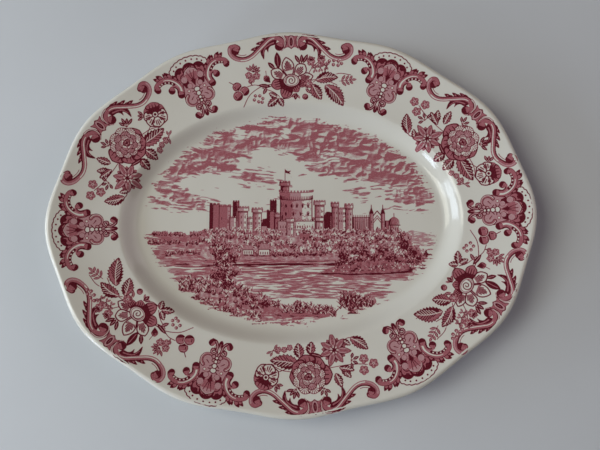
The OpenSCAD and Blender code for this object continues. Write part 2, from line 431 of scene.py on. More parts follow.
def plum_spray(s):
    """Spray A: a passion flower, plums and berries to one side and big leaves to the other."""
    stem(s, [(-31, -1.6), (-27, 6), (-19.5, 11.5), (-12, 13)])
    stem(s, [(-19.5, 11.5), (-24, 12.5), (-30, 11)])
    stem(s, [(-8, 5), (-12, 8), (-19, 10.5)])
    stem(s, [(10, 15), (20, 15.5), (29, 12)])
    stem(s, [(14, 14), (21, 20), (24, 27)])
    stem(s, [(20, 15), (30, 19), (38, 18)])
    for at, r in (((-35.2, 11.2), 2.9), ((-30.4, 8.6), 3.0), ((-34.6, 5.4), 3.1)):
        plum(s, at, r)
    s.line([(-37.6, 12.8), (-40.2, 14.2)], THIN, DARK)
    leaf_spray(s, (-25.6, 12.4), (100, 128), 4.4, 1.5)
    small_leaf(s, (-21.5, 12.4), (-13.2, 11.4), 2.6, DARK)
    small_leaf(s, (-16.0, 11.0), (-18.4, 6.4), 2.4)
    berries(s, (-21.3, 3.6), ((-2.2, 1.9), (0.6, 1.9), (2.6, 0.2), (-2.9, -0.7), (-0.1, -1.9), (2.1, -2.2)))
    leaf_spray(s, (-24.8, 20.6), (148, 118, 88, 62, 36, 12), 5.6, 1.6)
    for at, r in (((-27.6, 18.6), 2.3), ((-22.6, 18.2), 2.4), ((-25.6, 16.0), 2.1)):
        blossom(s, at, r, 5, 20)
    dark_petal(s, (-13.6, 13.8), (-17.8, 18.2), 4.2)
    s.line([(-16.4, 18.6), (-16.6, 21.4)], FINE, DARK)
    small_leaf(s, (-8.4, 22.6), (-9.4, 33.2), 4.4, DARK)
    s.line([(-8.6, 24.4), (-9.2, 31)], THIN, MIDDLE)
    small_leaf(s, (-10.6, 22.4), (-15.2, 26.8), 2.8, DARK)
    leaf(s, (-9.6, 4.6), (-14.6, 7.2), 3.6, 5, 3)
    leaf(s, (-9.2, 3.6), (-15.6, -0.8), 4.4, 5, 3)
    leaf(s, (-8.4, 4.0), (-5.6, -0.8), 3.8, 5, 3, dark_side=-1)
    # The right-hand side: a fern, sprigs and three big leaves under the flower's edge
    leaf_spray(s, (6.6, 24.2), (62, 90, 122), 8.4, 2.4, DARK)
    stem(s, [(10, 18), (14, 24), (18, 27)])
    for at in ((12.6, 26.8), (19.2, 27.6)):
        blossom(s, at, 2.6, 5, 10)
        leaf_spray(s, np.add(at, (0, 0.6)), (40, 75, 105, 140), 3.4, 1.5, DARK)
    for at in ((15.2, 22.6), (18.6, 23.0), (22.2, 24.0)):
        leaf_spray(s, at, (40, 80, 130, 160, 250, 300), 3.2, 1.3, 0.85)
    berries(s, (26.6, 26.2), ((-2.2, 0.8), (0.7, 1.1), (3.6, 0.6), (5.6, -0.9), (3.4, -2.0), (0.4, -1.5)),
            1.1)
    fern(s, (30.5, 14.2), (38.2, 14.8), 3, 4.6)
    leaf(s, (15.6, 15.2), (29.8, 16.6), 6.8, 8, 6, bend=1.0)
    leaf(s, (13.4, 12.6), (19.0, 2.8), 7.0, 7, 5, bend=-0.4)
    leaf(s, (21.6, 11.8), (33.0, -1.6), 8.8, 9, 7, bend=1.2, dark_side=-1)
    passion_flower(s, (-0.2, 15.2))
    small_leaf(s, (2.6, 7.2), (2.2, 2.6), 2.6)
    leaf_spray(s, (3.0, 7.0), (-60, -100, -140), 4.2, 1.3)
    blossom(s, (10.6, 13.0), 2.8, 6)
    stem(s, [(9.0, 12.0), (10.4, 9.8), (10.8, 7.6)])
    small_leaf(s, (8.8, 10.0), (12.0, 6.8), 2.0)
    plum(s, (8.6, 4.6), 1.9)


def folded_petal(s, at, reach, hub, tone):
    """A round light petal with hatching from its outer edge, seen over the one behind it."""
    at, hub = np.array(at), np.array(hub)
    s.disc(at, reach, DARK)
    s.disc(at, reach - 0.34, tone)
    out = np.degrees(np.arctan2(*(at - hub)[::-1]))
    for k, turn in enumerate((-64, -38, -12, 12, 38, 64)):
        edge = at + (reach - 0.3) * turned(out + turn)
        s.line([edge, edge + (at - edge) * (0.75 if k % 2 else 0.5)], FINE, DARK, 0.2)


def rose(s, c, r):
    """A full rose: deep petals outside, then folded light petals, ring upon ring."""
    c = np.array(c, float)
    for a, out, wide in ((0, 1.36, 1.3), (60, 1.24, 1.2), (120, 1.2, 1.1), (178, 1.5, 1.35), (235, 1.35, 1.3),
                         (282, 1.4, 1.4), (322, 1.35, 1.2)):
        dark_petal(s, c, c + r * out * turned(a), r * wide, 0.66, 0.55)
    for ring, petals, size, tone in ((0.72, 9, 0.36, 0.06), (0.5, 7, 0.33, 0.3), (0.3, 5, 0.28, 0.06),
                                     (0.1, 3, 0.2, 0.4)):
        hub = c + (0.9 - ring) * r * np.array([0.12, 0.1])
        for k in range(petals):
            wander = 1 + 0.14 * np.sin(7.0 * k + 30 * ring)
            a = 360 * k / petals + 200 * ring
            folded_petal(s, hub + r * ring * wander * turned(a), r * size * wander, hub, tone)
    s.disc(c + r * np.array([0.1, 0.08]), 0.08 * r, DARK)


def pansy(s, c, r):
    """A flat flower: deep petals on its outer side and light ones on its inner side."""
    c = np.array(c, float)
    for a, out, wide in ((110, 1.1, 1.2), (8, 1.1, 1.2), (58, 1.15, 1.4)):
        dark_petal(s, c, c + r * out * turned(a), r * wide, 0.68, 0.5)
    for a, out, wide in ((155, 1.1, 1.0), (318, 1.05, 0.9), (200, 1.2, 1.1), (285, 1.2, 1.1),
                         (242, 1.2, 1.1)):
        hatched_petal(s, c, c + r * out * turned(a), r * wide, 0.68, 5)
    s.disc(c, r * 0.3, DARK)
    s.disc(c, r * 0.22, BARE)
    s.disc(c, r * 0.12, DARK)


def lily(s, c, r, petals=7):
    """An open flower of long pointed petals, the lighter ones over darker ones."""
    c = np.array(c, float)
    for k in range(petals):
        dark_petal(s, c, c + 0.82 * r * turned(360 * (k + 0.85) / petals), r * 0.4, 0.55, 0.5)
    for k in range(petals):
        a = 360 * (k + 0.35) / petals
        outline, rib, side = petal_outline(c, c + r * (1.12 if k % 2 else 0.96) * turned(a), r * 0.4, 0.5,
                                           n=20)
        s.fill(outline, fade(rib[0], rib[-1], 0.2, 0.5))
        s.line(np.concatenate([outline, outline[:1]]), FINE, DARK)
        for w in (-0.14, 0, 0.14):
            s.line((rib + side * w * 0.4 * r)[6:-4], 0.3, DARK, 0.2)
    for k in range(petals):
        s.line([c, c + r * 0.34 * turned(360 * k / petals)], 0.5, DARK, FINE)
        s.disc(c + r * 0.2 * turned(360 * (k + 0.5) / petals), 0.4, BARE)


def rose_spray(s):
    """Spray B: a rose between a lily and a pansy, with leaves and small round flowers."""
    stem(s, [(25, 14), (18, 12), (8, 9)])
    stem(s, [(-14, 0), (-20, -3), (-24, -2)])
    leaf_spray(s, (26.2, 0.6), (20, 60, 150, 190, 230), 4.6, 1.5)
    for at in ((23.0, 0.4), (19.4, 0.8), (16.0, -0.2)):
        blossom(s, at, 1.9, 5, 15)
    leaf(s, (10.6, 10.6), (28.4, 6.4), 8.4, 8, 6, bend=-0.6)
    leaf(s, (10.4, 6.4), (10.8, -2.4), 6.2, 6, 4)
    leaf(s, (4.0, 5.0), (2.4, -2.6), 5.6, 5, 3)
    small_leaf(s, (-4, 7.2), (5.2, 4.2), 2.6, DARK)
    small_leaf(s, (26, 10.8), (28.4, 8.4), 1.7, DARK)
    stem(s, [(27.2, 9.6), (22, 12.8), (17, 14.2)])
    leaf_spray(s, (26.8, 20.4), (98, 130, 162), 5.4, 1.9)
    leaf_spray(s, (14.0, 24.4), (10, 40, 70, 100), 6.6, 2.0, DARK)
    leaf_spray(s, (-2.6, 25.4), (20, 62, 104, 140), 5.6, 1.8, DARK)
    stem(s, [(-6, 14.2), (-14, 13.4), (-24, 13.2), (-30, 14)])
    leaf(s, (-10.4, 17.6), (-13.4, 26.0), 4.6, 5, 4)
    leaf(s, (-14.4, 14.6), (-19.4, 20.8), 4.2, 5, 4, dark_side=-1)
    leaf(s, (-13.0, 14.4), (-21.8, 16.6), 4.0, 5, 4)
    leaf_spray(s, (-20.4, 10.6), (95, 150, 200, 250), 5.4, 1.9, DARK)
    leaf(s, (-16.4, -2.0), (-21.0, 1.4), 3.2, 5, 3)
    leaf(s, (-21.4, -3.0), (-31.4, 4.8), 6.4, 7, 6, bend=0.5)
    for at in ((-28.2, 10.4), (-33.8, 13.6), (-27.6, 17.2)):
        blossom(s, at, 2.8, 5, 12)
    lily(s, (-10.8, 3.6), 9.4)
    pansy(s, (31.8, 16.2), 6.9)
    rose(s, (5.2, 17.4), 9.3)


def round_end(s, centre, radius, toward):
    """The rolled end of a scroll, dark at its rim and lighter on the side of its band."""
    c = np.array(centre, float)
    way = radius * turned(toward)
    s.disc(c, radius, DARK)
    s.fill(arc(c + way * 0.2, radius * 0.74, 0, 360, 28), fade(c - way * 0.8, c + way, 1.2, 0.35))


def ringed(s, centre, radius, tone=PALE):
    """A round bubble: a fine outline, a bare ring and a tinted middle."""
    s.disc(centre, radius, 0.9)
    s.disc(centre, radius - 0.34, 0.1)
    s.disc(centre, radius - 0.6, tone)


def thorn(s, base, tip, width):
    """A pointed leaf in middle tone with a dark outline and tip."""
    outline, _, _ = petal_outline(base, tip, width, 0.45, n=12)
    s.fill(outline, fade(base, tip, 0.45, 1.0))
    s.line(outline, FINE, DARK)


def c_scroll(s, way):
    """The C-scroll on one side of a cartouche, with its spiky leaves and its row of beads."""
    def f(points):
        return np.asarray(points, float) * (way, 1)

    for base, tip, width in (((12.6, 31.4), (16.4, 36.8), 2.6), ((15.6, 32.6), (17.6, 36.4), 2.2),
                             ((18.4, 33.2), (22.2, 36.6), 2.6), ((20.6, 32.6), (24.4, 35.4), 2.2),
                             ((10.2, 29.6), (12.0, 33.4), 2.0)):
        thorn(s, f(base), f(tip), width)
    band = curve([(10.4, 21.4), (10.3, 25.0), (12.4, 28.8), (16.0, 31.4), (20.2, 31.7), (23.6, 30.2),
                  (24.8, 28.2)])
    s.line(f(band), 4.6, DARK, 3.9)
    s.line(beside(f(band), 0.15 * way), 3.6, 0.5, 2.9)
    s.line(beside(f(band), -0.9 * way)[2:-6], 0.8, PALE, 0.6)
    s.line(beside(f(band), 0.35 * way)[1:30], 1.25, BARE, 0.4)
    beads = curve([(13.0, 27.8), (15.4, 29.7), (18.4, 30.6), (21.4, 30.2), (22.8, 29.2)], 8)
    s.line(f(beads), 1.7, DARK, 1.2)
    for k in np.linspace(0.12, 0.85, 5):
        s.disc(f(beads)[int(k * (len(beads) - 1))], 0.52, BARE)
    inner = curve([(12.2, 21.2), (11.7, 24.0), (13.2, 26.2), (15.6, 26.4)])
    s.line(f(inner), 2.0, MIDDLE, 1.6)
    s.line(beside(f(inner), -0.5 * way), 1.0, DARK, 0.6)
    for c, r, a in (((24.3, 27.6), 2.1, 110), ((15.9, 24.3), 2.3, 120), ((11.1, 19.8), 2.4, 100)):
        round_end(s, f(c), r, a if way > 0 else 180 - a)


def shell(s):
    """The cartouche's head: a bare scalloped band with a row of dots round dark scallops."""
    hub = np.array([0.0, 32.6])
    a = np.radians(np.linspace(-4, 184, 151))
    reach = 1 + 0.045 * np.abs(np.sin(11 * a))
    edge = hub + reach[:, None] * np.stack([13.6 * np.cos(a), 8.4 * np.sin(a)], 1)
    s.fill(np.concatenate([edge, [(0, 27)]]), BARE)
    s.line(edge, 0.6, DARK)
    for a in np.linspace(28, 152, 7):
        s.disc(hub + (11.2, 6.6) * turned(a), 0.55, DARK)
    for u, v, r in ((-10.0, 29.6, 3.4), (10.0, 29.6, 3.4), (-6.2, 32.0, 4.3), (6.2, 32.0, 4.3),
                    (0, 32.8, 4.8)):
        s.disc((u, v), r, DARK)
        s.fill(arc((u * 0.96, v - 0.8), r - 0.8, 0, 360, 30),
               fade((u, v + r - 1), (u * 0.6, v - 1.5), 0.9, 0.4))
        for lean in (-36, -12, 12, 36):
            root = np.array([u, v]) + 0.2 * r * turned(90 + lean - 4 * u)
            s.line([root, root + 0.5 * r * turned(90 + lean - 4 * u)], FINE, DARK)


def cartouche(s):
    """A shell over a body of two rounded lobes, with a finial of curls and a C-scroll each side."""
    shell(s)
    body = curve([(0, 32.4), (6.6, 31.4), (8.0, 28.2), (8.0, 24.4), (8.8, 20.6), (10.0, 16.6), (9.4, 12.4),
                  (6.6, 9.9), (3.4, 10.2), (1.2, 11.6), (0, 11.8)], 8)
    body = np.concatenate([body, mirrored(body)[::-1]])
    s.fill(body, DARK)
    s.fill((0, 21) + (body - (0, 21)) * 0.95, fade((0, 34), (0, 22), 0.75, 0.3))
    for way in (-1, 1):
        # A lobe with a light curl in it
        c = np.array([5.4 * way, 14.2])
        s.disc(c, 4.7, 0.32)
        curl = arc(c, 3.8, 90 - 30 * way, 90 - 262 * way, 30)
        s.line(curl, 2.5, DARK, 1.3)
        s.line(curl, 1.7, 0.52, 0.6)
        s.line(c + (curl - c) * 1.1, 0.4, BARE, 0.2)
        s.disc(curl[-1], 1.2, DARK)
        s.disc(curl[-1], 0.8, 0.32)
        s.line([c + (-1.6 * way, 1.8), c + (0.4 * way, 0.2)], 0.3, DARK, 0.6)
        s.disc((2.2 * way, 11.4), 1.35, DARK)
        s.disc((2.2 * way, 11.4), 0.95, 0.3)
        # Bubbles round the heart, dark between them
        s.fill([(7.8 * way, 25.8), (3.6 * way, 27.6), (2.6 * way, 21.6), (6.4 * way, 22.4)], 0.85)
        ringed(s, (5.7 * way, 28.0), 2.3)
        ringed(s, (3.6 * way, 23.2), 1.9)
        s.line([(1.7 * way, 20.4), (3.0 * way, 21.4)], THIN, DARK)
        s.line([(1.9 * way, 19.2), (3.6 * way, 19.0)], THIN, DARK)
        s.line([(1.6 * way, 16.4), (3.0 * way, 17.6)], THIN, DARK)
        ringed(s, (5.5 * way, 20.2), 1.1, BARE)
    heart = petal_outline((0, 21.4), (0, 34.2), 8.6, 0.72)[0]
    s.fill((0, 28) + (heart - (0, 28)) * 1.12, DARK)
    s.fill((0, 28) + (heart - (0, 28)) * 1.05, BARE)
    s.fill(heart, fade((0, 22), (0, 33), 1.1, 0.3))
    for lean in (-14, 0, 14):
        s.line([(0.3 * lean / 14, 24), (0, 22) + 10.5 * turned(90 + lean)], FINE, DARK)
    for v, wide, tall in ((19.8, 1.7, 1.4), (16.9, 1.3, 1.3), (14.2, 0.9, 0.9), (11.8, 0.8, 0.8)):
        s.fill(arc((0, v), (wide + 0.5, tall + 0.5), 0, 360, 20), DARK)
        s.fill(arc((0, v), (wide, tall), 0, 360, 20), BARE)
    for way in (-1, 1):
        c_scroll(s, way)
        # The finial's curls, each under a small bare volute
        stalk = curve([(0.6 * way, 10.4), (1.5 * way, 7.4), (1.8 * way, 4.6), (3.4 * way, 2.2),
                       (5.6 * way, 1.6)])
        s.line(stalk, 1.7, DARK, 2.2)
        s.line(stalk[:-6], 0.8, 0.3, 0.5)
        round_end(s, (5.8 * way, 3.3), 2.2, 90 + 60 * way)
        volute = curve([(1.6 * way, 8.6), (3.0 * way, 9.6), (4.5 * way, 8.8), (4.3 * way, 7.2),
                        (3.3 * way, 7.2)])
        s.line(volute, 1.6, DARK, 1.9)
        s.line(volute, 0.6, 0.3)
        s.line(curve([(2.8 * way, 6.4), (3.4 * way, 5.4), (3.0 * way, 4.4)]), 0.6, DARK, 0.3)
    bud, rib, _ = petal_outline((0, 8.0), (0, 0.6), 2.8, 0.75, n=16)
    s.fill(bud, DARK)
    s.line(rib[2:-5], 0.6, PALE, 0.3)


def clasp(s):
    """The rib that joins two scrolls at the middle of a spray, hard by the edge."""
    outline = curve([(0, 43.2), (2.0, 42.0), (4.6, 42.6), (3.6, 40.4), (3.2, 38.5), (3.6, 36.6), (4.6, 34.6),
                     (2.0, 35.2), (0, 34.0)], 6)
    outline = np.concatenate([outline, mirrored(outline)[::-1]])
    s.fill(outline, DARK)
    s.fill((0, 38.5) + (outline - (0, 38.5)) * (0.84, 0.9), MIDDLE)
    s.fill(arc((0, 38.5), (2.1, 4.0), 0, 360, 26), DARK)
    s.fill(arc((0, 38.5), (1.85, 3.7), 0, 360, 26), PALE)
    s.fill(arc((0, 38.5), (1.05, 2.6), 0, 360, 26), DARK)
    s.line([(0, 37.2), (0, 39.8)], 0.3, MIDDLE)


def side_scroll(s):
    """The S-shaped band from beside a cartouche, on the left, to the clasp at u = 0."""
    band = curve([(-32.5, 37.8), (-34.6, 39.1), (-36.5, 38.1), (-36.8, 35.3), (-35.0, 32.5), (-31.5, 30.7),
                  (-27.8, 30.5), (-24.1, 31.9), (-20.3, 34.7), (-16.6, 37.8), (-13.5, 40.4), (-10.4, 41.6),
                  (-7.3, 41.0), (-5.1, 39.1), (-4.8, 36.2)], 10)
    s.line(beside(band[5:62], 2.5), FINE, DARK)
    for base, tip in (((-12.6, 41.4), (-17.2, 41.3)), ((-16.4, 38.9), (-21.0, 38.6)),
                      ((-20.2, 36.0), (-24.6, 35.3))):
        thorn(s, base, tip, 1.7)
        thorn(s, np.add(base, (1.4, 0.7)), np.add(tip, (2.6, 0.8)), 1.5)
    # An acanthus leaf along the inner side, with its barb
    s.fill(curve([(-8.4, 39.6), (-9.6, 37.2), (-12.4, 36.4), (-13.8, 34.8), (-14.3, 32.6), (-15.4, 34.6),
                  (-16.6, 32.6),
                  (-17.3, 28.6), (-19.0, 32.6), (-18.1, 36.6), (-15.4, 39.2), (-12.9, 40.3), (-10.0, 40.8)],
                  4), DARK)
    s.line(curve([(-10.6, 38.4), (-13.6, 37.2), (-16.2, 35.2), (-17.5, 31.8)]), 0.8, 0.5, FINE)
    s.line(band[:70], 3.9, DARK, 2.9)
    s.line(band[60:120], 2.9, DARK)
    s.line(band[110:], 2.9, DARK, 3.9)
    s.line(beside(band, -0.35), 2.3, MIDDLE, 2.3)
    s.line(beside(band[20:60], -0.8), 1.0, PALE, 0.6)
    s.line(beside(band[50:112], -0.6), 0.75, BARE, 0.5)
    round_end(s, (-34.0, 36.3), 2.4, 60)
    round_end(s, (-7.3, 35.9), 2.7, 60)
    rim = curve([(-9.0, 42.9), (-6.2, 42.4), (-4.2, 40.4), (-3.7, 37.4), (-4.4, 34.8), (-6.0, 33.2)])
    s.line(rim, 1.2, DARK, 0.6)
    s.line(rim, 0.6, BARE, 0.3)


# ---- The print in the well: a castle over a river. u goes to the right and v up from the
# ---- middle of the print ----

NOISE_GRID = 97  # cells before the noise repeats
LINE_PITCH = 0.85  # from one engraved line to the next


def noise(x, y, size, seed):
    """Smooth noise from 0 to 1, with features of about that size."""
    grid = np.random.default_rng(seed).random((NOISE_GRID, NOISE_GRID))
    gx, gy = x / size + 500, y / size + 500
    i, j = np.floor(gx).astype(int), np.floor(gy).astype(int)
    fx, fy = gx - i, gy - j
    fx, fy = fx * fx * (3 - 2 * fx), fy * fy * (3 - 2 * fy)
    k, m = (i + 1) % NOISE_GRID, (j + 1) % NOISE_GRID
    i, j = i % NOISE_GRID, j % NOISE_GRID
    near = (1 - fx) * grid[j, i] + fx * grid[j, k]
    far = (1 - fx) * grid[m, i] + fx * grid[m, k]
    return (1 - fy) * near + fy * far


def hatched(tone, spread, size, seed, cut=0.16):
    """A tone that wanders, under fine engraved lines."""
    def value(x, y):
        rise = y + 0.12 * x + 1.8 * noise(x, y, 6, seed + 1)
        wander = spread * (noise(x, y, size, seed) - 0.5)
        return np.clip(tone + wander + cut * np.sin(2 * np.pi * rise / LINE_PITCH), 0, 1)
    return value


# Soft masses of cloud: middle, half width, half height and weight, which is under 0 for bright air
CLOUDS = (
    (10, 57, 14, 8, 1.0), (26, 52, 16, 8, 0.9), (8, 42, 12, 8, 0.8), (43, 44, 17, 10, 1.0),
    (70, 30, 15, 8, 1.1), (60, 38, 14, 8, 0.9), (-12, 49, 14, 7, 1.0), (-27, 43, 8, 10, 0.9),
    (-50, 40, 18, 5, 1.0), (-42, 33, 14, 5, 0.9), (-68, 30, 12, 6, 0.9), (-22, 58, 16, 6, 0.9),
    (-44, 51, 12, 6, 0.8), (50, 28, 24, 6, 1.0), (76, 15, 16, 9, 0.8), (-76, 14, 17, 5, 0.8),
    (-58, 9, 14, 5, 0.7), (-26, 24, 16, 5, 0.7), (26, 33, 12, 6, 0.7), (36, 17, 12, 3, 0.5),
    (-80, 21, 8, 4, 0.5), (2, 63, 14, 3, 0.6), (30, 60, 10, 4, 0.6), (58, 47, 12, 5, 0.6),
    (-19, 40, 7, 5, -1.4), (-4, 54, 3, 5, -1.0), (-31, 53, 4, 4, -1.0), (-2, 34, 8, 4, -1.2),
    (-46, 24, 12, 3, -0.8), (-62, 22, 9, 3, -0.7), (28, 37, 5, 2, -0.8), (22, 17, 12, 7, -1.0),
    (-34, 15, 14, 4, -0.9), (-30, 35, 4, 5, -0.9), (48, 22, 12, 2, -0.5), (-85, 15, 8, 2, -0.4),
)
CLOUD_LIGHT = (-0.45, 0.6)  # towards the light on the clouds, at the upper left


def spots(s):
    """The x and y of every spot of a sheet."""
    ny, nx = s.ink.shape
    x = s.low[0] + s.pitch * np.arange(nx)[None, :] + np.zeros((ny, 1))
    y = s.low[1] + s.pitch * np.arange(ny)[:, None] + np.zeros((1, nx))
    return x, y


def billows(x, y):
    """How high the clouds stand, for the light on them."""
    x, y = x + 1.6 * noise(x, y, 3.4, 11), 1.2 * y + 1.6 * noise(x, y, 3.4, 12)
    high = 0
    for size in (8, 5, 3):
        c, s = np.cos(size), np.sin(size)
        high = high + size * (1 - abs(2 * noise(x * c - y * s, x * s + y * c, size, 12 + size) - 1))
    return high


def sky(s):
    """Cloud that breaks up into level streaks."""
    x, y = spots(s)
    mass = sum(w * np.exp(-(((x - cx) / a) ** 2) - ((y - cy) / b) ** 2) for cx, cy, a, b, w in CLOUDS)
    wave = y + 1.6 * (noise(x, y, 9, 1) - 0.5) - 0.1 * np.abs(x)
    streaks = noise(x / 7, wave, 0.95, 2) * 0.6 + noise(x / 4, wave, 0.6, 3) * 0.4 - 0.5
    amount = mass * (0.8 + 0.5 * noise(x, y, 3, 4)) + 1.5 * streaks * (1.1 - 0.35 * np.clip(mass, 0, 1))
    over_land = np.clip((y - 1 - 3 * streaks) / 4, 0, 1)
    lines = np.sin(2 * np.pi * (wave + 1.2 * noise(x, y, 5, 6)) / LINE_PITCH)
    # Billows: round lumps in the thick of the cloud, darker on the side away from the light
    drop = billows(x + CLOUD_LIGHT[0], y + CLOUD_LIGHT[1]) - billows(x, y)
    shade = np.clip(0.78 + 0.5 * drop, 0.12, 1.15)
    thick = np.clip(1.6 * mass - 0.2, 0, 1)
    cover = np.clip((amount - 0.28) / 0.42, 0, 1)
    depth = np.clip(0.62 * (1 + thick * (shade - 1)) + 0.17 * lines, 0, 0.76)
    s.ink[:] = cover * depth * over_land


def block(s, left, right, base, top, shade=0.8, light=0.1, merlons=0, seed=1):
    """A wall or tower, shaded from left to right, with merlons along its top."""
    wide = right - left
    tone = fade((left, 0), (left + 0.85 * wide, 0), shade, light)
    s.fill([(left, base), (left, top), (right, top), (right, base)], tone)
    rng = np.random.default_rng(seed)
    for _ in range(int(wide * (top - base) / 3.5)):
        u, v = rng.uniform(left, right - 0.6), rng.uniform(base, top)
        s.line([(u, v), (u + 0.6, v)], 0.18, 0.75)
    step = wide / max(2 * merlons - 1, 1)
    for k in range(merlons):
        u = left + 2 * k * step
        s.fill([(u, top - 0.1), (u, top + 0.9), (u + step, top + 0.9), (u + step, top - 0.1)], tone)
        s.line([(u, top), (u, top + 0.9), (u + step, top + 0.9), (u + step, top)], 0.2, DARK)
    for u in (left, right):
        s.line([(u, base), (u, top)], THIN if u == left else FINE, 0.95)
    s.line([(left, top), (right, top)], FINE, 0.9)


def slits(s, left, right, height, count, tall=1.1):
    for u in np.linspace(left, right, count):
        s.line([(u, height), (u, height + tall)], 0.42, DARK)


def tower(s, left, right, base, top, shade=0.75, light=0.05, merlons=4, windows=3, seed=1):
    """A tower with a head that stands out on a row of corbels."""
    head = 0.13 * (right - left)
    block(s, left, right, base, top - 1.8, shade, light, 0, seed)
    block(s, left - head, right + head, top - 1.9, top, shade * 0.8, light, merlons, seed)
    slits(s, left, right, top - 2.9, 2 * merlons, 0.8)
    for k in range(windows):
        v = base + (top - 4.4 - base) * (k + 0.4) / windows
        slits(s, left + 0.35 * (right - left), left + 0.75 * (right - left), v, 2)


def turret(s, middle, base, top, wide):
    """A thin turret with a pointed roof."""
    block(s, middle - wide / 2, middle + wide / 2, base, top, 0.8, 0.2)
    s.fill([(middle - 0.7 * wide, top), (middle, top + 1.9 * wide), (middle + 0.7 * wide, top)], DARK)
    s.line([(middle, top + wide), (middle, top + 2.5 * wide)], FINE, DARK)
    slits(s, middle, middle, base + 0.6 * (top - base), 1, 1.4)


def keep(s):
    """The round keep: a shaded drum with a corbelled head, a turret and a flag."""
    left, right, base, top = -6.6, 13.0, -1, 20.4
    middle = (left + right) / 2
    s.line([(-3.8, 24), (-3.8, 33.6)], 0.3, DARK)
    s.fill(curve([(-3.7, 33.4), (-2.2, 32.4), (-0.2, 32.6), (-1.0, 31.6), (-0.4, 30.6), (-2.4, 31.0),
                  (-3.7, 31.4)]), 0.8)
    tower(s, -6.4, -1.4, 18, 25.2, 0.95, 0.4, 4, 0)
    s.fill([(left, base), (left, top - 5), (right, top - 5), (right, base)],
           fade((left, 0), (right - 3, 0), 0.75, 0.04))
    rng = np.random.default_rng(5)
    for _ in range(150):
        u, v = rng.uniform(left, right - 1), rng.uniform(base, top - 6)
        s.line([(u, v), (u + rng.uniform(0.4, 1.2), v)], 0.18, 0.7)
    for _ in range(26):
        u, v = left + 8 * rng.random() ** 2, rng.uniform(base, top - 8)
        s.line([(u, v), (u, v + rng.uniform(1.5, 4))], 0.25, 0.85)
    band = arc((middle, top - 5.3), ((right - left) / 2 + 0.5, 0.9), 180, 360, 30)
    rim = arc((middle, top - 0.9), ((right - left) / 2 + 0.7, 0.6), 180, 360, 30)
    s.fill(np.concatenate([band, rim[::-1]]), fade((left, 0), (right - 4, 0), 0.7, 0.05))
    for p, q in zip(arc((middle, top - 5.3), (10.2, 0.9), 183, 357, 26),
                    arc((middle, top - 3.2), (10.2, 0.8), 183, 357, 26)):
        s.line([p, q], 0.42, DARK, 0.2)
    s.line(band, 0.4, DARK)
    s.line(rim, 0.3, 0.9)
    for p in arc((middle, top - 0.8), (10.4, 0.6), 184, 356, 16):
        s.fill([p + (-0.36, 0), p + (-0.36, 1.0), p + (0.36, 1.0), p + (0.36, 0)], 0.35)
        s.line([p + (-0.36, 0), p + (-0.36, 1.0), p + (0.36, 1.0), p + (0.36, 0)], 0.2, DARK)
    for v, n in ((10.6, 5), (5.6, 4)):
        for u in np.linspace(left + 3.4, right - 2.4, n):
            s.fill(arc((u, v), (0.55, 1.2), 0, 360, 14), DARK)
            s.line(arc((u, v + 0.1), (0.85, 1.6), 10, 170, 10), 0.22, 0.7)
    for u in (left, right):
        s.line([(u, base), (u, top - 5)], THIN, DARK)


def church(s):
    """A ribbed nave and a gabled front between two pointed turrets."""
    block(s, 38.4, 48.4, -9, 3.6, 0.3, 0.05)
    for u in np.linspace(38.8, 48.0, 9):
        s.line([(u, -9), (u, 5.0)], 0.62, DARK, 0.25)
        s.line([(u + 0.5, -8), (u + 0.5, 3)], 0.2, 0.6)
    s.fill([(50, -9), (50, 3.4), (53.5, 7.4), (57, 3.4), (57, -9)], 0.12)
    s.line([(50, 3.4), (53.5, 7.6), (57, 3.4)], 0.5, DARK)
    for drop in (1.8, 3.4):
        s.line([(50.8, 3.2 - drop), (53.5, 6.6 - drop), (56.2, 3.2 - drop)], 0.32, 0.85)
    s.fill(petal_outline((53.5, -12.5), (53.5, -2.2), 3.2, 0.45)[0], DARK)
    s.fill(petal_outline((53.5, -11.5), (53.5, -3.4), 1.9, 0.45)[0], 0.25)
    turret(s, 49.9, -9, 6.0, 2.1)
    turret(s, 57.0, -9, 6.0, 2.1)
    block(s, 58.4, 60.6, -9, 1.4, 0.9, 0.5)
    block(s, 61.4, 66.4, -8, -1.0, 0.7, 0.15, 0)
    slits(s, 62.2, 65.8, -4.4, 4, 1.6)
    s.fill(curve([(60.6, -1.2), (60.9, 2.0), (63.9, 3.9), (66.9, 2.0), (67.2, -1.2)]),
           fade((61, 0), (67, 0), 0.95, 0.4))
    for u in np.linspace(61.4, 66.4, 6):
        s.line([(u, -1), ((u + 63.9) / 2, 3.0)], 0.2, PALE)
    s.line([(63.9, 3.8), (63.9, 6.0)], 0.35, DARK)
    s.line([(60.2, -1.2), (67.6, -1.2)], 0.45, DARK)


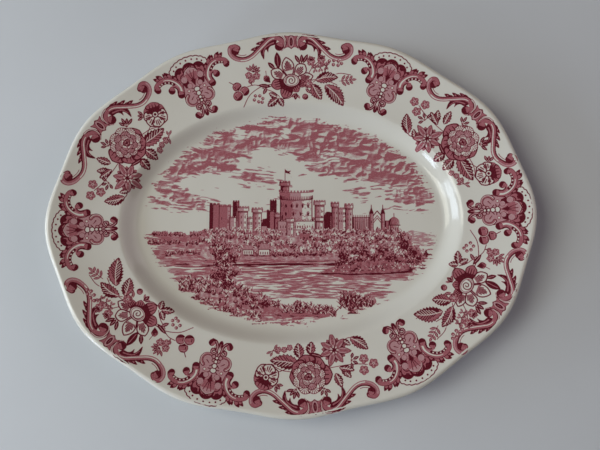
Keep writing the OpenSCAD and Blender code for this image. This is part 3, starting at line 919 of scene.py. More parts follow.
def castle(s):
    """Walls and towers from left to right, the far ones first."""
    block(s, 13.4, 39.4, -9, 2.6, 0.35, 0.1, 14)
    block(s, -35, -5, -9, 1.6, 0.45, 0.12, 16)
    block(s, -36.0, -32.4, 2, 13.0, 1.0, 0.7, 3)
    block(s, -12.9, -9.2, 2, 13.6, 1.0, 0.8, 3)
    s.fill([(-18.8, -2), (-17.2, 2.4), (-11, 3.8), (-9, -2)], DARK)
    block(s, -14.8, -10.4, -4, 7.3, 0.95, 0.6, 3)
    block(s, -50.4, -37.6, -9, 10.4, 0.66, 0.45, 5, 3)
    for _ in range(3):
        slits(s, -47 + 4 * _, -47 + 4 * _, 4 - 2 * _, 1, 1.6)
    block(s, -50.4, -44.6, -9, 11.4, 0.95, 0.55, 3, 4)
    block(s, -38, -34, -8, 3.4, 0.5, 0.1, 3)
    tower(s, -32.8, -27.0, -8, 9.4, 0.6, 0.02, 5, 4, 5)
    tower(s, -23.6, -18.4, -8, 8.6, 0.65, 0.02, 4, 4, 6)
    block(s, -27.2, -23.6, -8, 3.0, 0.3, 0.05, 3)
    slits(s, -26.4, -24.4, -1, 3, 1.4)
    tower(s, -10.0, -6.6, -8, 5.6, 0.7, 0.2, 3, 3, 7)
    keep(s)
    block(s, -8.2, 15.0, -10, 1.2, 0.35, 0.04, 12, 8)
    slits(s, -6.4, 13.2, -3.0, 14, 1.3)
    s.line([(-8, -4.2), (15, -4.2)], FINE, 0.8)
    slits(s, -5.4, 12.2, -7.8, 9, 1.6)
    tower(s, -2.6, 1.6, -10, 2.8, 0.5, 0.05, 3, 2, 9)
    block(s, 20.4, 26, -4, 5.0, 1.0, 0.75)
    s.fill(curve([(20.8, 4.6), (21.6, 6.6), (23.4, 7.0), (25.4, 6.4), (26, 4.6)]), DARK)
    tower(s, 14.9, 20.5, -9, 13.2, 0.6, 0.02, 5, 5, 10)
    tower(s, 15.6, 19.8, -9, 3.4, 0.5, 0.05, 4, 2, 12)
    tower(s, 25.4, 29.2, -9, 12.2, 0.85, 0.15, 3, 5, 13)
    block(s, 29.2, 34.2, -9, 8.8, 0.4, 0.08, 4, 14)
    slits(s, 30.2, 33.4, 5.4, 4)
    slits(s, 30.2, 33.4, 0.8, 4)
    tower(s, 33.9, 38.0, -9, 11.2, 0.8, 0.1, 3, 5, 15)
    church(s)


def dabs(s, rng, place, count, length, tones, lean=90, spread=60):
    """Short strokes at places that place() gives, each in one of the tones."""
    for _ in range(count):
        at = np.array(place())
        way = rng.uniform(0.6, 1) * length * turned(lean + rng.uniform(-spread, spread))
        tone = tones[rng.integers(len(tones))]
        s.line([at, at + way * 0.55, at + way + (0.1 * length, 0)], 0.62, tone, 0.2)


def tree(s, rng, u, v, wide, tall, dark=0.5):
    """A clump of leaves, light at its upper right and dark below, covered with dabs."""
    lobes = rng.uniform(0.78, 1.12, 26)
    a = np.radians(np.arange(26) * 360 / 26)
    outline = np.stack([u + wide / 2 * lobes * np.cos(a), v + tall / 2 * lobes * np.sin(a)], 1)
    s.fill(curve(outline, 3, True), hatched(0.35 * dark + 0.2, 0.4, 1.1, 21))
    s.fill(arc((u - 0.12 * wide, v - 0.2 * tall), (0.36 * wide, 0.24 * tall), 0, 360, 16), 0.6 + 0.35 * dark)
    s.fill(arc((u + 0.12 * wide, v + 0.2 * tall), (0.27 * wide, 0.2 * tall), 0, 360, 16), 0.32 * dark)

    def within(du, dv):
        def place():
            b, r = rng.uniform(0, 360), 0.46 * rng.random() ** 0.5
            return np.array([u + du * wide, v + dv * tall]) + r * np.array([wide, tall]) * turned(b)
        return place

    count = int(wide * tall * 0.6) + 3
    dabs(s, rng, within(0.12, 0.16), int(count * (1.1 - dark)), 0.9, (BARE, BARE, PALE))
    dabs(s, rng, within(-0.1, -0.14), int(count * (0.4 + dark)), 1.0, (DARK, DARK, 0.75))
    dabs(s, rng, within(0, 0), count // 2, 0.8, (MIDDLE, 0.45, DARK))


def tufts(s, rng, place, count, tall, tones):
    """Grass: small fans of strokes that start at a point."""
    for _ in range(count):
        at = np.array(place())
        for _ in range(rng.integers(2, 5)):
            way = rng.uniform(0.5, 1) * tall * turned(90 + rng.uniform(-55, 55))
            s.line([at, at + way * 0.6, at + way + (0.15 * way[0], -0.1)], 0.5,
                   tones[rng.integers(len(tones))], 0.18)


def level_strokes(s, rng, place, count, long, wide, tones):
    """Level strokes with pointed ends, for water and far fields."""
    for _ in range(count):
        u, v = place()
        half = long * rng.uniform(0.35, 1)
        w = wide * rng.uniform(0.6, 1.2)
        tone = tones[rng.integers(len(tones))]
        rise = rng.uniform(-0.25, 0.25)
        s.fill([(u - half, v), (u - half * 0.3, v + w / 2 + rise), (u + half * 0.4, v + w / 2),
                (u + half, v - rise), (u + half * 0.3, v - w / 2), (u - half * 0.4, v - w / 2)], tone)


def spread_over(rng, low, high):
    return lambda: (rng.uniform(low[0], high[0]), rng.uniform(low[1], high[1]))


def between(rng, points, thick):
    """Places near a line through points."""
    route = curve(points, 12)
    return lambda: route[rng.integers(len(route))] + (rng.normal(0, 0.6), rng.uniform(-thick, thick) / 2)


def far_shore(s, rng):
    """Fields and hedges on the left, hills on the right, then woods under the castle."""
    s.fill(curve([(-92, -5.5), (-80, -4.6), (-64, -5.6), (-50, -2), (-44, -14), (-48, -24), (-66, -25),
                  (-82, -20)]), hatched(0.46, 0.4, 2.0, 31))
    level_strokes(s, rng, spread_over(rng, (-86, -23), (-48, -7)), 260, 4.2, 0.5,
                  (PALE, 0.5, MIDDLE, BARE, 0.75))
    for at in ([(-90, -5), (-78, -4.6), (-66, -5.4), (-56, -4.6)],
               [(-86, -10), (-76, -9.6), (-60, -10.4), (-52, -7)],
               [(-76, -17), (-66, -16), (-52, -16.6)]):
        for _ in range(int(1.9 * (at[-1][0] - at[0][0]) / 2)):
            u, v = between(rng, at, 1.0)()
            tree(s, rng, u, v, rng.uniform(1.6, 3.4), rng.uniform(1.6, 2.8), 0.8)
    s.fill(curve([(66, -7), (74, -2.6), (84, -4.4), (92, -8), (90, -12), (70, -12)]),
           hatched(0.24, 0.3, 1.6, 32))
    level_strokes(s, rng, spread_over(rng, (70, -12), (90, -4)), 36, 3.4, 0.5, (PALE, 0.5, BARE))
    s.fill(curve([(-52, -3), (-30, -4), (0, -6), (30, -5), (62, -5), (72, -10), (80, -14), (84, -24),
                  (30, -26), (0, -25),
                  (-40, -24), (-56, -18)]), hatched(0.34, 0.5, 1.5, 33))
    rows = ((-3.5, -52, 68, 1.0, 2.6), (-7.0, -54, 70, 1.8, 4.0), (-11.5, -52, 76, 2.2, 5.0),
            (-16.5, -44, 82, 2.2, 5.4))
    for v, left, right, jitter, size in rows:
        for u in np.arange(left, right, size * 0.72):
            if abs(u - 3) < 9 and v > -7.5:
                continue
            wide = size * rng.uniform(0.8, 1.5)
            tree(s, rng, u + rng.normal(0, 0.8), v + rng.normal(0, jitter) * 0.5, wide,
                 wide * rng.uniform(0.75, 1.1), rng.choice((0.2, 0.38, 0.7)))
    tree(s, rng, 9.5, -4.5, 8.6, 8.0, 0.4)
    tree(s, rng, 71.0, -9.0, 7.4, 12, 0.95)


def cottages(s, rng):
    for left, base, wide, tall in ((-29.6, -21.6, 6.4, 5.6), (-19.8, -22.0, 6.6, 7.0)):
        right, eaves, top = left + wide, base + 0.5 * tall, base + tall
        s.fill([(left, base), (left, eaves), (right, eaves), (right, base)], 0.1)
        s.fill([(left - 0.4, eaves), (left + 1.4, top), (right - 1.0, top), (right + 0.4, eaves)], 0.3)
        for u in np.linspace(left + 0.6, right - 0.6, 7):
            s.line([(u, eaves), (u + 0.5, top - 0.2)], 0.22, 0.75)
        s.line([(left - 0.4, eaves), (right + 0.4, eaves)], 0.35, DARK)
        s.line([(left, base), (left, eaves)], 0.3, DARK)
        s.line([(right, base), (right, eaves)], 0.3, DARK)
        slits(s, left + 1.2, right - 1.2, base + 0.6, 4, 1.2)
        block(s, right - 2.2, right - 1.3, top, top + 1.4, 0.9, 0.5)
    for u in np.arange(-12, 22, 2.2):
        tree(s, rng, u, -21.4 + rng.normal(0, 0.4), 3.2, 2.4, 0.8)


def river(s, rng):
    """Level strokes, close and dark under the far bank and open in the middle."""
    s.fill(curve([(-76, -27.6), (-40, -25.4), (0, -22.6), (40, -22), (88, -26), (82, -36), (60, -48),
                  (20, -52), (-40, -40), (-66, -36)]), BARE)
    s.fill(curve([(-40, -21.4), (-20, -22.8), (8, -22.2), (28, -21), (32, -25), (10, -26.6), (-30, -26.2)]),
           hatched(0.4, 0.4, 1.4, 41))
    level_strokes(s, rng, spread_over(rng, (-80, -29.5), (58, -25)), 260, 7, 0.6, (0.5, MIDDLE, 0.85, PALE))
    level_strokes(s, rng, spread_over(rng, (-36, -28.2), (34, -27)), 40, 9, 0.6, (0.8, DARK))
    level_strokes(s, rng, spread_over(rng, (-74, -38), (62, -30)), 420, 6, 0.62, (PALE, 0.5, MIDDLE, 0.75))
    level_strokes(s, rng, spread_over(rng, (-30, -48), (60, -38)), 290, 6, 0.62, (PALE, 0.5, MIDDLE, 0.75))
    level_strokes(s, rng, spread_over(rng, (52, -37), (80, -29)), 70, 6, 0.6, (PALE, 0.5, MIDDLE))
    level_strokes(s, rng, spread_over(rng, (30, -36), (72, -32.4)), 60, 8, 0.6, (MIDDLE, 0.75, PALE))
    level_strokes(s, rng, spread_over(rng, (52, -52), (70, -46)), 10, 6, 1.0, (PALE, 0.45))


def wooded_point(s, rng):
    """The spit of land on the right, with bushes and a dark line at the water."""
    s.fill(curve([(17.6, -32.8), (30, -28), (48, -25.4), (64, -22.6), (78, -22), (90.6, -23.6), (84, -28.6),
                  (70, -32), (48, -33.6), (30, -33.4)]), hatched(0.62, 0.4, 1.3, 51))
    for u in np.arange(30, 88, 2.6):
        v = -26.5 + 6.5 * np.sin(np.radians((u - 24) * 2.4)) * 0.55
        size = rng.uniform(3.4, 6.4)
        tree(s, rng, u, v + rng.normal(0, 1.0), size, size * 0.95, rng.choice((0.35, 0.7, 0.9)))
    for u, v, w, h in ((33, -20.5, 7.5, 9.5), (46, -19, 6.5, 8), (57.5, -17.5, 8, 8.5), (76, -19, 8, 7),
                       (86, -20.5, 7, 6)):
        tree(s, rng, u, v, w, h, 0.9)
    tufts(s, rng, between(rng, [(26, -31), (50, -30), (70, -28.6), (86, -26)], 3.2), 110, 1.6,
          (DARK, 0.75, BARE))
    level_strokes(s, rng, between(rng, [(20, -33.2), (44, -33.4), (66, -32.4), (82, -29.6)], 0.6), 60, 6,
                  0.6, (DARK, DARK, 0.75))


def near_bank(s, rng):
    """Bushes and grass along the bottom, thick on the left and thinning to the right."""
    bank = curve([(-70, -39.5), (-58, -40), (-44, -39), (-30, -42), (-20, -48), (-6, -53), (4, -57),
                  (20, -58), (12, -62),
                  (-4, -64.5), (-16, -62.5), (-30, -60.4), (-46, -55), (-60, -48)])
    s.fill(bank, hatched(0.4, 0.5, 1.6, 61))
    upper = [(-68, -40), (-50, -40.5), (-34, -43), (-22, -49), (-8, -54)]
    lower = [(-62, -47), (-46, -53), (-32, -58), (-18, -60.5), (-6, -62)]
    inland = [(-64, -43), (-48, -47), (-32, -51), (-16, -57), (-6, -59)]
    for line, thick, size, n in ((upper, 6, 3.6, 60), (lower, 6, 3.2, 56), (inland, 6, 2.6, 40)):
        for _ in range(n):
            u, v = between(rng, line, thick)()
            tree(s, rng, u, v, size * rng.uniform(0.7, 1.4), size * rng.uniform(0.6, 1.0),
                 rng.choice((0.3, 0.6, 0.9)))
    for line, thick, n in ((upper, 9, 200), (lower, 6, 150)):
        tufts(s, rng, between(rng, line, thick), n, 2.6, (DARK, DARK, 0.75, BARE))
    s.fill(curve([(-16, -52), (-4, -54), (10, -54), (26, -56), (20, -59.5), (4, -60), (-6, -63),
                  (-18, -61)]), hatched(0.52, 0.3, 1.2, 62))
    level_strokes(s, rng, spread_over(rng, (-14, -62), (14, -57)), 60, 4, 0.6, (BARE, PALE, MIDDLE, 0.85))
    for u, v, w, h in ((-15, -50, 7, 6), (-21, -48, 5, 4), (4.4, -51.5, 4.6, 5), (-37, -38, 10, 5)):
        tree(s, rng, u, v, w, h, 0.8)
    tufts(s, rng, between(rng, [(-4, -55.5), (8, -54.5), (20, -55.5), (27, -57)], 4.4), 150, 3.4,
          (DARK, DARK, 0.75, BARE))
    level_strokes(s, rng, between(rng, [(-4, -58), (8, -57.4), (22, -58.4)], 1.6), 26, 5, 0.9,
                  (DARK, MIDDLE, MIDDLE))
    level_strokes(s, rng, spread_over(rng, (0, -65), (12, -61.6)), 12, 4, 0.9, (0.5, PALE))
    # The bush on the right, with sprigs of its own leaning out
    for u, v, w, h in ((36, -48, 11, 9), (47, -50, 10, 9), (40, -56, 12, 8), (34, -60, 7, 5)):
        tree(s, rng, u, v, w, h, 0.8)
    tufts(s, rng, between(rng, [(30, -50), (40, -52), (50, -56)], 10), 110, 3.4, (DARK, DARK, 0.75, BARE))
    level_strokes(s, rng, between(rng, [(36, -60), (44, -59), (52, -58)], 1.4), 16, 4, 0.9, (DARK, MIDDLE))
    # The tall bush at the left, in front of the water
    for u, v, w, h in ((-38, -18, 6, 8), (-46, -20, 5, 6), (-41, -26, 12, 9), (-35, -23, 8, 8),
                       (-42, -33, 14, 9), (-34, -32, 7, 6)):
        tree(s, rng, u, v, w, h, 0.85)
    tufts(s, rng, between(rng, [(-46, -18), (-40, -28), (-36, -36)], 14), 70, 2.2, (DARK, DARK, BARE))


def vignette(s):
    """Fades the print out at a ragged oval."""
    x, y = spots(s)
    inside = 1 - (x / 92.3) ** 2 - (y / 64.8) ** 2
    ragged = noise(x / 6, y, 0.8, 8) + 0.5 * noise(x / 2, y, 0.5, 9) - 0.75
    s.ink *= np.clip((inside + 0.16 * ragged) * 30 - 1.2, 0, 1)


def lowered(s, drop, draw, *more):
    """Draws a part of the view lower on the sheet than its own lengths say."""
    low = s.low
    s.low = np.add(low, (0, drop))
    draw(s, *more)
    s.low = low


def castle_view(s):
    """The whole print, from the sky forward."""
    rng = np.random.default_rng(12)
    sky(s)
    lowered(s, 2.4, castle)
    lowered(s, 4.2, far_shore, rng)
    river(s, rng)
    cottages(s, rng)
    wooded_point(s, rng)
    near_bank(s, rng)
    vignette(s)


# ---- The border: twelve motifs, by turns a cartouche and a spray, over the linked scrolls ----

PITCH = 0.25  # grid of the plate's artwork
STAMP = 0.15  # grid of a motif's own sheet
BORDER_RING = 31.0  # the scrolls follow a ring this far out from the shoulder
SHEET_EDGE = 3.0  # how much further out things are on the motifs' sheets than on the platter
SCROLL_EDGE = 1.1  # the same for the clasps and the scrolls
CARTOUCHE_SIZE = 0.965  # from the sheet to the platter, about the cartouche's top
CARTOUCHE_TOP = 42.6
CARTOUCHE_ROOT = 31.0  # how far out a cartouche's place along the ring is taken
SPRAY_ROOT = 37.0  # the same for a spray
SCROLL_LENGTH = 33.0  # about how far along the edge a scroll reaches from its clasp
# How far each motif lies past its even place, against the clock along the edge, and how far
# outwards. There is one every 30 degrees, and the even ones are cartouches.
SLIPS = (1.7, -3.7, -7.3, -3.7, 1.7, 2.6, 3.0, 8.1, 8.3, 11.1, 13.0, 9.0)
OUTWARD = (2.6, 1.3, 1.0, 0.0, 1.0, -0.2, 0.6, 0.2, 3.0, 3.6, 1.5, 1.2)
SPRAYS_ALONG = (0.5, 0.0, -4.0, 0.0, -3.9, 0.0)  # from each clasp to its spray, with the clock
CLASPS_IN = (3.0, 1.0, 3.3, 2.4, 0.9, 1.6)  # how far inwards the clasps lie
# How far inwards the far ends of each clasp's two scrolls lie
ENDS_IN = ((0.2, 2.6), (1.4, 1.1), (1.5, 0.7), (1.2, 0.2), (2.5, 1.4), (-0.2, 0.4))
SCROLL_STRETCH = 1.023  # how much longer a scroll is laid than drawn, over an even gap


def ring_place(x, y):
    """How far along the scrolls' ring points in plan are, and how far out from the shoulder."""
    a, b = A + BORDER_RING, B + BORDER_RING
    f = np.arctan2(y * a, x * b)
    for _ in range(5):  # Newton's steps to the nearest point of the ring
        p, q = a * np.cos(f), b * np.sin(f)
        dp, dq = -a * np.sin(f), b * np.cos(f)
        f = f + ((x - p) * dp + (y - q) * dq) / (dp * dp + dq * dq + (x - p) * p + (y - q) * q)
    p, q = a * np.cos(f), b * np.sin(f)
    out = ((x - p) * b * np.cos(f) + (y - q) * a * np.sin(f)) / np.hypot(b * np.cos(f), a * np.sin(f))
    table = np.linspace(0, 2 * np.pi, 1441)
    steps = np.hypot(np.diff(a * np.cos(table)), np.diff(b * np.sin(table)))
    length = np.concatenate([[0], np.cumsum(steps)])
    return np.interp(np.mod(f, 2 * np.pi), table, length), out + BORDER_RING, length[-1]


def apart(place, start, whole):
    """The way from start to place, between half a round back and half a round forward."""
    return np.mod(place - start + whole / 2, whole) - whole / 2


def draw_border(plate, x, y):
    """Lays every motif on the plate's sheet, which covers x and y. Gives back the distance
    out from the shoulder of each spot, and the number of the motif that it is nearest to."""
    sheets = {}
    for name, low, high, draw in (
        ("scroll", (-46, 22), (6, 46), side_scroll),
        ("clasp", (-8, 28), (8, 46), clasp),
        ("plums", (-44, -6), (44, 38), plum_spray),
        ("rose", (-42, -6), (42, 38), rose_spray),
        ("cartouche", (-30, -5), (30, 44), cartouche),
    ):
        sheets[name] = Sheet(low, high, STAMP)
        draw(sheets[name])
    along, out, whole = ring_place(x, y)
    roots, ways, places = [], [], []
    for i in range(LOBES):
        angle = around(2 * np.pi * (i / LOBES + SLIPS[i] / whole))
        root = np.array([A * np.cos(angle), B * np.sin(angle)])
        way = np.array([B * np.cos(angle), A * np.sin(angle)])
        way /= np.hypot(*way)
        roots.append(root)
        ways.append(way)
        places.append(ring_place(*(root + (SPRAY_ROOT if i % 2 else CARTOUCHE_ROOT) * way))[0])
    for i in range(1, LOBES, 2):
        for side in (-1, 1):
            gap = abs(apart(places[(i + side) % LOBES], places[i], whole))
            u = -side * apart(along, places[i], whole) / (gap * LOBES / whole * SCROLL_STRETCH)
            share = np.clip(-u / SCROLL_LENGTH, 0, 1) ** 2
            v = out + SCROLL_EDGE + CLASPS_IN[i // 2] * (1 - share) + ENDS_IN[i // 2][side > 0] * share
            plate.stamp(sheets["scroll"], u, v)
    for i, (root, way) in enumerate(zip(roots, ways)):
        u = (x - root[0]) * way[1] - (y - root[1]) * way[0]
        v = (x - root[0]) * way[0] + (y - root[1]) * way[1]
        if i % 2:
            plate.stamp(sheets["clasp"], u, v + SCROLL_EDGE + CLASPS_IN[i // 2])
            spray = sheets["plums" if i % 4 == 3 else "rose"]
            plate.stamp(spray, u - SPRAYS_ALONG[i // 2], v + SHEET_EDGE - OUTWARD[i])
        else:
            v = CARTOUCHE_TOP - (CARTOUCHE_TOP - v - SHEET_EDGE + OUTWARD[i]) / CARTOUCHE_SIZE
            plate.stamp(sheets["cartouche"], u / CARTOUCHE_SIZE, v)
    return out, np.argmin([np.abs(apart(along, place, whole)) for place in places], axis=0)


# ---- From artwork to films: the outline of each tone is traced on the grid ----

# For the signs at a cell's four corners, its polygons: 0 to 3 are corners and 4 to 7 the
# crossings on its sides, both going round from the lower left
CELL = {
    1: [(0, 4, 7)], 2: [(4, 1, 5)], 3: [(0, 1, 5, 7)], 4: [(5, 2, 6)], 5: [(0, 4, 7), (5, 2, 6)],
    6: [(4, 1, 2, 6)], 7: [(0, 1, 2, 6, 7)], 8: [(7, 6, 3)], 9: [(0, 4, 6, 3)],
    10: [(4, 1, 5), (7, 6, 3)], 11: [(0, 1, 5, 6, 3)], 12: [(7, 5, 2, 3)], 13: [(0, 4, 5, 2, 3)],
    14: [(4, 1, 2, 3, 7)],
}
LONGEST = 6  # cells in one level strip of a film


def trace(sheet, ink, level, wanted, hidden):
    """Points in plan and faces for the part of the cells wanted with more ink than level.
    hidden marks cells that a darker film covers."""
    ny, nx = ink.shape
    sign = ink > level
    case = sign[:-1, :-1] + 2 * sign[:-1, 1:] + 4 * sign[1:, 1:] + 8 * sign[1:, :-1]
    case = np.where(wanted & ~hidden, case, 0)
    total = ny * nx
    # Corners are numbered first, then the level crossings, then the upright ones
    around_cell = [0, 1, nx + 1, nx, total, 2 * total + 1, total + nx, 2 * total]
    faces = []
    full = case == 15
    starts = full & ~np.pad(full, ((0, 0), (1, 0)))[:, :-1]
    run = np.zeros(full.shape, int)
    for i in range(full.shape[1]):
        if i:
            run[:, i] = np.where(full[:, i] & ~starts[:, i], run[:, i - 1] + 1, 0)
    begins = full & (run % LONGEST == 0)
    row, col = np.nonzero(begins)
    length = np.zeros(len(row), int)
    open_ = np.ones(len(row), bool)
    for k in range(LONGEST):
        at = np.minimum(col + k, full.shape[1] - 1)
        open_ &= full[row, at] & (col + k < full.shape[1]) & ((k == 0) | ~begins[row, at])
        length += open_
    first = row * nx + col
    faces.append(np.stack([first, first + length, first + length + nx, first + nx], 1))
    for number, polygons in CELL.items():
        row, col = np.nonzero(case == number)
        for polygon in polygons:
            faces.append(np.stack([row * nx + col + around_cell[k] for k in polygon], 1))
    faces = [f for f in faces if len(f)]
    if not faces:
        return np.zeros((0, 2)), []
    ids, inverse = np.unique(np.concatenate([f.ravel() for f in faces]), return_inverse=True)
    kind, corner = ids // total, ids % total
    flat = ink.ravel()
    step = np.where(kind == 1, 1, np.where(kind == 2, nx, 0))
    near, far = flat[corner], flat[np.minimum(corner + step, total - 1)]
    part = np.where(kind > 0, (level - near) / np.where(far == near, 1, far - near), 0)
    part = np.clip(part, 0.02, 0.98) * (kind > 0)
    points = np.stack([corner % nx + part * (kind == 1), corner // nx + part * (kind == 2)], 1)
    cuts = np.cumsum([f.size for f in faces])[:-1]
    faces = [part.reshape(f.shape) for part, f in zip(np.split(inverse, cuts), faces)]
    return sheet.low + sheet.pitch * points, faces


def drape(points, lift):
    """Points in space and their normals, for points in plan, lift above the glaze."""
    x, y = points.T
    d, _ = locate(x, y)
    z, slope = face(d)
    out = np.stack([x / (A + d) ** 2, y / (B + d) ** 2], 1)
    out /= np.linalg.norm(out, axis=1, keepdims=True) + 1e-12
    slope = np.where(d < -COVE, 0, slope)
    normals = np.stack([-out[:, 0] * slope, -out[:, 1] * slope, np.ones_like(slope)], 1)
    normals /= np.linalg.norm(normals, axis=1, keepdims=True)
    space = np.stack([x, y, z], 1)
    # The glaze's face is the clay's, moved out along its normal: the height that does so
    # at a given point in plan is the thickness over the normal's upward share
    space[:, 2] += (GLAZE + lift) / normals[:, 2]
    return space, normals


TONES = (("pale", 0.17, 0.02), ("middle", 0.45, 0.035), ("dark", 0.78, 0.05))  # level and lift


def make_films(name, sheet, ink, wanted, nodes, lay=None):
    """The films of one print, a piece for each tone. lay takes the sheet's points to the plan."""
    for k, (tone, level, lift) in enumerate(TONES):
        hidden = np.zeros(wanted.shape, bool)
        if k + 1 < len(TONES):
            over = ink > TONES[k + 1][1]
            hidden = over[:-1, :-1] & over[:-1, 1:] & over[1:, 1:] & over[1:, :-1]
        points, faces = trace(sheet, ink, level, wanted, hidden)
        if not faces:
            continue
        space, normals = drape(lay(points) if lay else points, lift)
        piece = mesh_object(name + "_" + tone, space, faces, [inks[tone]], normals=normals)
        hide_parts(*nodes)


# ---- Materials ----


def new_material(name):
    material = bpy.data.materials.new(name)
    material.use_nodes = True
    tree = material.node_tree
    return material, tree, tree.nodes["Principled BSDF"]


def noise_colour(tree, target, low, high, scale, detail=3.0, spread=(0.35, 0.65)):
    """Drives a colour socket with noise in the object's own millimetre space."""
    place = tree.nodes.new("ShaderNodeTexCoord")
    texture = tree.nodes.new("ShaderNodeTexNoise")
    texture.inputs["Scale"].default_value = scale
    texture.inputs["Detail"].default_value = detail
    ramp = tree.nodes.new("ShaderNodeValToRGB")
    ramp.color_ramp.elements[0].position, ramp.color_ramp.elements[1].position = spread
    ramp.color_ramp.elements[0].color = (*low, 1)
    ramp.color_ramp.elements[1].color = (*high, 1)
    tree.links.new(place.outputs["Object"], texture.inputs["Vector"])
    tree.links.new(texture.outputs["Fac"], ramp.inputs["Fac"])
    tree.links.new(ramp.outputs["Color"], target)
    return texture


def noise_value(tree, target, low, high, scale):
    place = tree.nodes.new("ShaderNodeTexCoord")
    texture = tree.nodes.new("ShaderNodeTexNoise")
    texture.inputs["Scale"].default_value = scale
    spread = tree.nodes.new("ShaderNodeMapRange")
    spread.inputs["From Min"].default_value = 0.3
    spread.inputs["From Max"].default_value = 0.7
    spread.inputs["To Min"].default_value = low
    spread.inputs["To Max"].default_value = high
    tree.links.new(place.outputs["Object"], texture.inputs["Vector"])
    tree.links.new(texture.outputs["Fac"], spread.inputs["Value"])
    tree.links.new(spread.outputs["Result"], target)


def ripple(tree, shader, scale, depth):
    """A faint unevenness of the glaze, depth in metres."""
    place = tree.nodes.new("ShaderNodeTexCoord")
    texture = tree.nodes.new("ShaderNodeTexNoise")
    texture.inputs["Scale"].default_value = scale
    texture.inputs["Detail"].default_value = 1.0
    bump = tree.nodes.new("ShaderNodeBump")
    bump.inputs["Strength"].default_value = 1.0
    bump.inputs["Distance"].default_value = depth
    tree.links.new(place.outputs["Object"], texture.inputs["Vector"])
    tree.links.new(texture.outputs["Fac"], bump.inputs["Height"])
    tree.links.new(bump.outputs["Normal"], shader.inputs["Normal"])


def glazed(name, low, high, scale, spread=(0.35, 0.65)):
    """A glossy surface whose colour wanders between two colours."""
    material, tree, shader = new_material(name)
    noise_colour(tree, shader.inputs["Base Color"], low, high, scale, spread=spread)
    noise_value(tree, shader.inputs["Roughness"], 0.07, 0.14, 60)
    shader.inputs["IOR"].default_value = 1.5
    ripple(tree, shader, 28, 0.00004)
    return material


def biscuit_material():
    material, tree, shader = new_material("biscuit")
    noise_colour(tree, shader.inputs["Base Color"], (0.50, 0.43, 0.33), (0.66, 0.59, 0.48), 900, 5)
    noise_value(tree, shader.inputs["Roughness"], 0.8, 0.95, 300)
    ripple(tree, shader, 2500, 0.0001)
    return material


china = glazed("glazed_earthenware", (0.735, 0.700, 0.640), (0.765, 0.735, 0.680), 22)
biscuit = biscuit_material()
inks = {
    "pale": glazed("ink_pale", (0.49, 0.255, 0.28), (0.57, 0.325, 0.345), 1500),
    "middle": glazed("ink_middle", (0.36, 0.105, 0.13), (0.45, 0.155, 0.185), 1500),
    "dark": glazed("ink_dark", (0.09, 0.008, 0.015), (0.16, 0.018, 0.032), 1500),
}

# ---- The glazed clay ----

AROUND = 12 * 32  # segments around each ring


def outward(d, z, slope, reach):
    """The point that lies reach out of the face at a distance from the shoulder."""
    tilt = np.arctan(float(slope))
    return d - reach * np.sin(tilt), float(z) + reach * np.cos(tilt)


def section():
    """Points of the glazed section from the middle of the face to the middle of the back, as
    distance from the shoulder and height, and how many of them come before the bare foot."""
    points = [outward(d, *cove_face(d), GLAZE) for d in np.linspace(-COVE, 0, 31)]
    points += [outward(d, *rim_face(d), GLAZE) for d in np.linspace(0, RUN, 31)[1:]]
    for n in np.linspace(-TILT, np.pi - TILT, 21)[1:]:
        points.append((RIM - LIP + (LIP + GLAZE) * np.sin(n), LIP_Z + (LIP + GLAZE) * np.cos(n)))
    for u in np.linspace(1, 0, 19)[1:]:
        wall = 2 * LIP + (COVE_WALL - 2 * LIP) * (1 - u)
        points.append(outward(RUN * u, *rim_face(RUN * u), -wall - GLAZE))
    for d in np.linspace(0, -0.7 * COVE, 13)[1:]:
        points.append(outward(d, *cove_face(d), -COVE_WALL - GLAZE))
    # Into the foot by a small fillet, down its side, across the bare face and up inside
    side = -FOOT_INSET + FOOT_LEAN
    inner = -FOOT_INSET - FOOT
    roof = RECESS - GLAZE
    fillet = [points[-1], (side + 1.7, 4.5), (side + 0.75, 3.7), (side + 0.4, 2.4),
              (side + GLAZE, FOOT_BARE + 0.1)]
    points += [tuple(p) for p in curve(fillet, 5)[1:]]
    glazed_outside = len(points)
    points += [(side, FOOT_BARE), (-FOOT_INSET + 0.1, 0.12), (-FOOT_INSET - 0.2, 0.0)]
    points += [(inner + 0.2, 0.0), (inner - 0.1, 0.12), (inner - FOOT_LEAN, FOOT_BARE)]
    glazed_inside = len(points)
    inner -= FOOT_LEAN + GLAZE
    hollow = [(inner, FOOT_BARE + 0.1), (inner - 0.2, 1.7), (inner - 0.9, roof - 0.25), (inner - 2.6, roof)]
    points += [tuple(p) for p in curve(hollow, 5)]
    return points, glazed_outside, glazed_inside


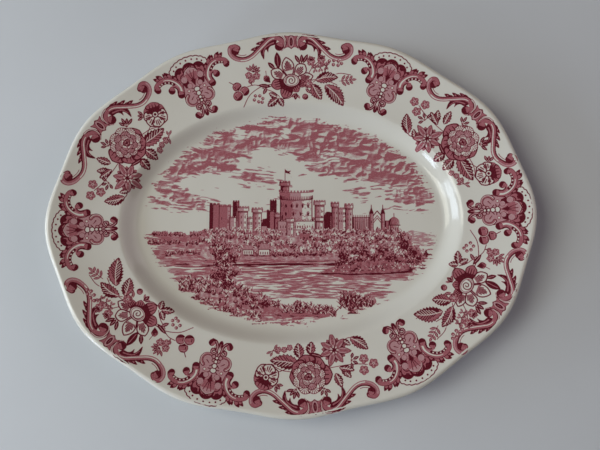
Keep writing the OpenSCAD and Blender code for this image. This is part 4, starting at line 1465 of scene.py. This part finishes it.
def plate_mesh():
    points, bare_from, bare_to = section()
    turn = np.arange(AROUND) * 2 * np.pi / AROUND
    angle = around(turn)
    rings = []
    top = FLOOR_Z + GLAZE
    for share in np.linspace(0, 1, 15)[1:-1]:
        rings.append(np.stack([share * (A - COVE) * np.cos(angle), share * (B - COVE) * np.sin(angle),
                               np.full(AROUND, top)], 1))
    face_rings = len(rings)
    for d, z in points:
        s = swelling(d, turn)
        rings.append(np.stack([(A + d) * np.cos(angle) * s, (B + d) * np.sin(angle) * s,
                               np.full(AROUND, z)], 1))
    d, z = points[-1]
    for share in np.linspace(1, 0, 15)[1:-1]:
        rings.append(np.stack([share * (A + d) * np.cos(angle), share * (B + d) * np.sin(angle),
                               np.full(AROUND, z)], 1))
    n, count = AROUND, len(rings)
    space = np.concatenate(rings + [np.array([[0, 0, top], [0, 0, z]])])
    here, after = np.arange(n), (np.arange(n) + 1) % n
    quads = [np.stack([k * n + here, (k + 1) * n + here, (k + 1) * n + after, k * n + after],
                      1) for k in range(count - 1)]
    first = np.stack([np.full(n, count * n), here, after], 1)
    final = np.stack([np.full(n, count * n + 1), (count - 1) * n + after, (count - 1) * n + here], 1)
    slots = np.zeros((count - 1) * n + 2 * n)
    slots[(face_rings + bare_from - 1) * n:(face_rings + bare_to) * n] = 1
    return space, [np.concatenate(quads), first, final], slots


space, faces, slots = plate_mesh()
plate = mesh_object("platter", space, faces, [china, biscuit], slots)
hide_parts("body", "glaze_front", "glaze_back")

# ---- The prints ----

canvas = Sheet((-half_length, -half_width), (half_length, half_width), PITCH)
grid_x = canvas.low[0] + PITCH * np.arange(canvas.ink.shape[1])[None, :] + np.zeros(canvas.ink.shape)
grid_y = canvas.low[1] + PITCH * np.arange(canvas.ink.shape[0])[:, None] + np.zeros(canvas.ink.shape)
distance, motif = draw_border(canvas, grid_x, grid_y)
canvas.ink *= distance < RIM - 0.7
on_rim = (distance > -8)[:-1, :-1]
motif = motif[:-1, :-1]
for i in range(LOBES):
    name = ("spray_" if i % 2 else "cartouche_") + str(i // 2 + 1)
    node = name.replace("_", "_print_")
    make_films(name, canvas, canvas.ink, on_rim & (motif == i), [node])

SCENE_HALF = (92.5, 65.0)
SCENE_SIZE = (1.027, 1.05)  # from the sheet to the well
SCENE_TILT = np.radians(-1.94)  # the scene was laid on a little askew and off the middle
SCENE_SHIFT = (-0.2, 1.6)


def lay_scene(points):
    u, v = (points * SCENE_SIZE).T
    turned_u = u * np.cos(SCENE_TILT) - v * np.sin(SCENE_TILT)
    turned_v = u * np.sin(SCENE_TILT) + v * np.cos(SCENE_TILT)
    return np.stack([turned_u, turned_v], 1) + SCENE_SHIFT


view = Sheet((-SCENE_HALF[0] - 1, -SCENE_HALF[1] - 1), (SCENE_HALF[0] + 1, SCENE_HALF[1] + 1), PITCH)
castle_view(view)
everywhere = np.ones((view.ink.shape[0] - 1, view.ink.shape[1] - 1), bool)
make_films("scene", view, view.ink, everywhere, ["scene_print"], lay_scene)

# ---- The table, the light and the camera ----


def table_material():
    material, tree, shader = new_material("table")
    noise_colour(tree, shader.inputs["Base Color"], (0.64, 0.66, 0.71), (0.66, 0.68, 0.73), 9)
    shader.inputs["Roughness"].default_value = 0.55
    return material


bpy.ops.mesh.primitive_plane_add(size=6, location=(0, 0, 0))
table = bpy.context.object
table.name = "table"
table.data.materials.append(table_material())


def area_light(name, at, target, size, power, colour=(1, 1, 1)):
    light = bpy.data.lights.new(name, "AREA")
    light.shape = "RECTANGLE"
    light.size, light.size_y = size
    light.energy = power
    light.color = colour
    obj = bpy.data.objects.new(name, light)
    obj.location = at
    obj.rotation_euler = (Vector(target) - Vector(at)).to_track_quat("-Z", "Y").to_euler()
    bpy.context.scene.collection.objects.link(obj)
    return obj


# A window on the left: light through its panes, and the sky above them. Each pane has its two
# sides in degrees round the platter, its foot and top in metres and its power in watts.
WINDOW_REACH = 1.3  # from the middle of the platter
for start, end, low, high, power in ((166, 196, 0.1, 0.6, 7.5), (184, 197, 0.6, 1.4, 2.5),
                                     (209, 220, 0.1, 0.6, 4.4)):
    middle = np.radians((start + end) / 2)
    wide = 2 * WINDOW_REACH * np.tan(np.radians(end - start) / 2)
    at = (WINDOW_REACH * np.cos(middle), WINDOW_REACH * np.sin(middle), (low + high) / 2)
    area_light("pane", at, (0, 0, 0.1), (wide, high - low), power, (0.74, 0.86, 1.0))
area_light("sky", (-1.5, 0, 1.9), (0, 0, 0), (1.4, 1.4), 24, (1.0, 1.0, 0.86))
# The room's own light from the right
area_light("room", (1.9, 0.5, 1.3), (0, 0, 0), (2.2, 1.6), 10.5, (1.0, 0.87, 0.92))

world = bpy.data.worlds.new("room")
bpy.context.scene.world = world
world.use_nodes = True
world.node_tree.nodes["Background"].inputs["Color"].default_value = (1.0, 0.88, 0.80, 1)
world.node_tree.nodes["Background"].inputs["Strength"].default_value = 0.03

ELEVATION = np.radians(79.98)
ROLL = np.radians(-1.885)
REACH = 0.5  # from the camera to the point that it looks at
AIM = Vector((0.00535, -0.00387, 0.018))
camera_data = bpy.data.cameras.new("camera")
camera_data.lens = 47.99
camera = bpy.data.objects.new("camera", camera_data)
bpy.context.scene.collection.objects.link(camera)
way = Vector((np.sin(ROLL) * np.cos(ELEVATION), -np.cos(ROLL) * np.cos(ELEVATION), np.sin(ELEVATION)))
camera.location = AIM + way * REACH
camera.rotation_euler = (-way).to_track_quat("-Z", "Y").to_euler()
bpy.context.scene.camera = camera
bpy.context.scene.view_settings.view_transform = "Standard"
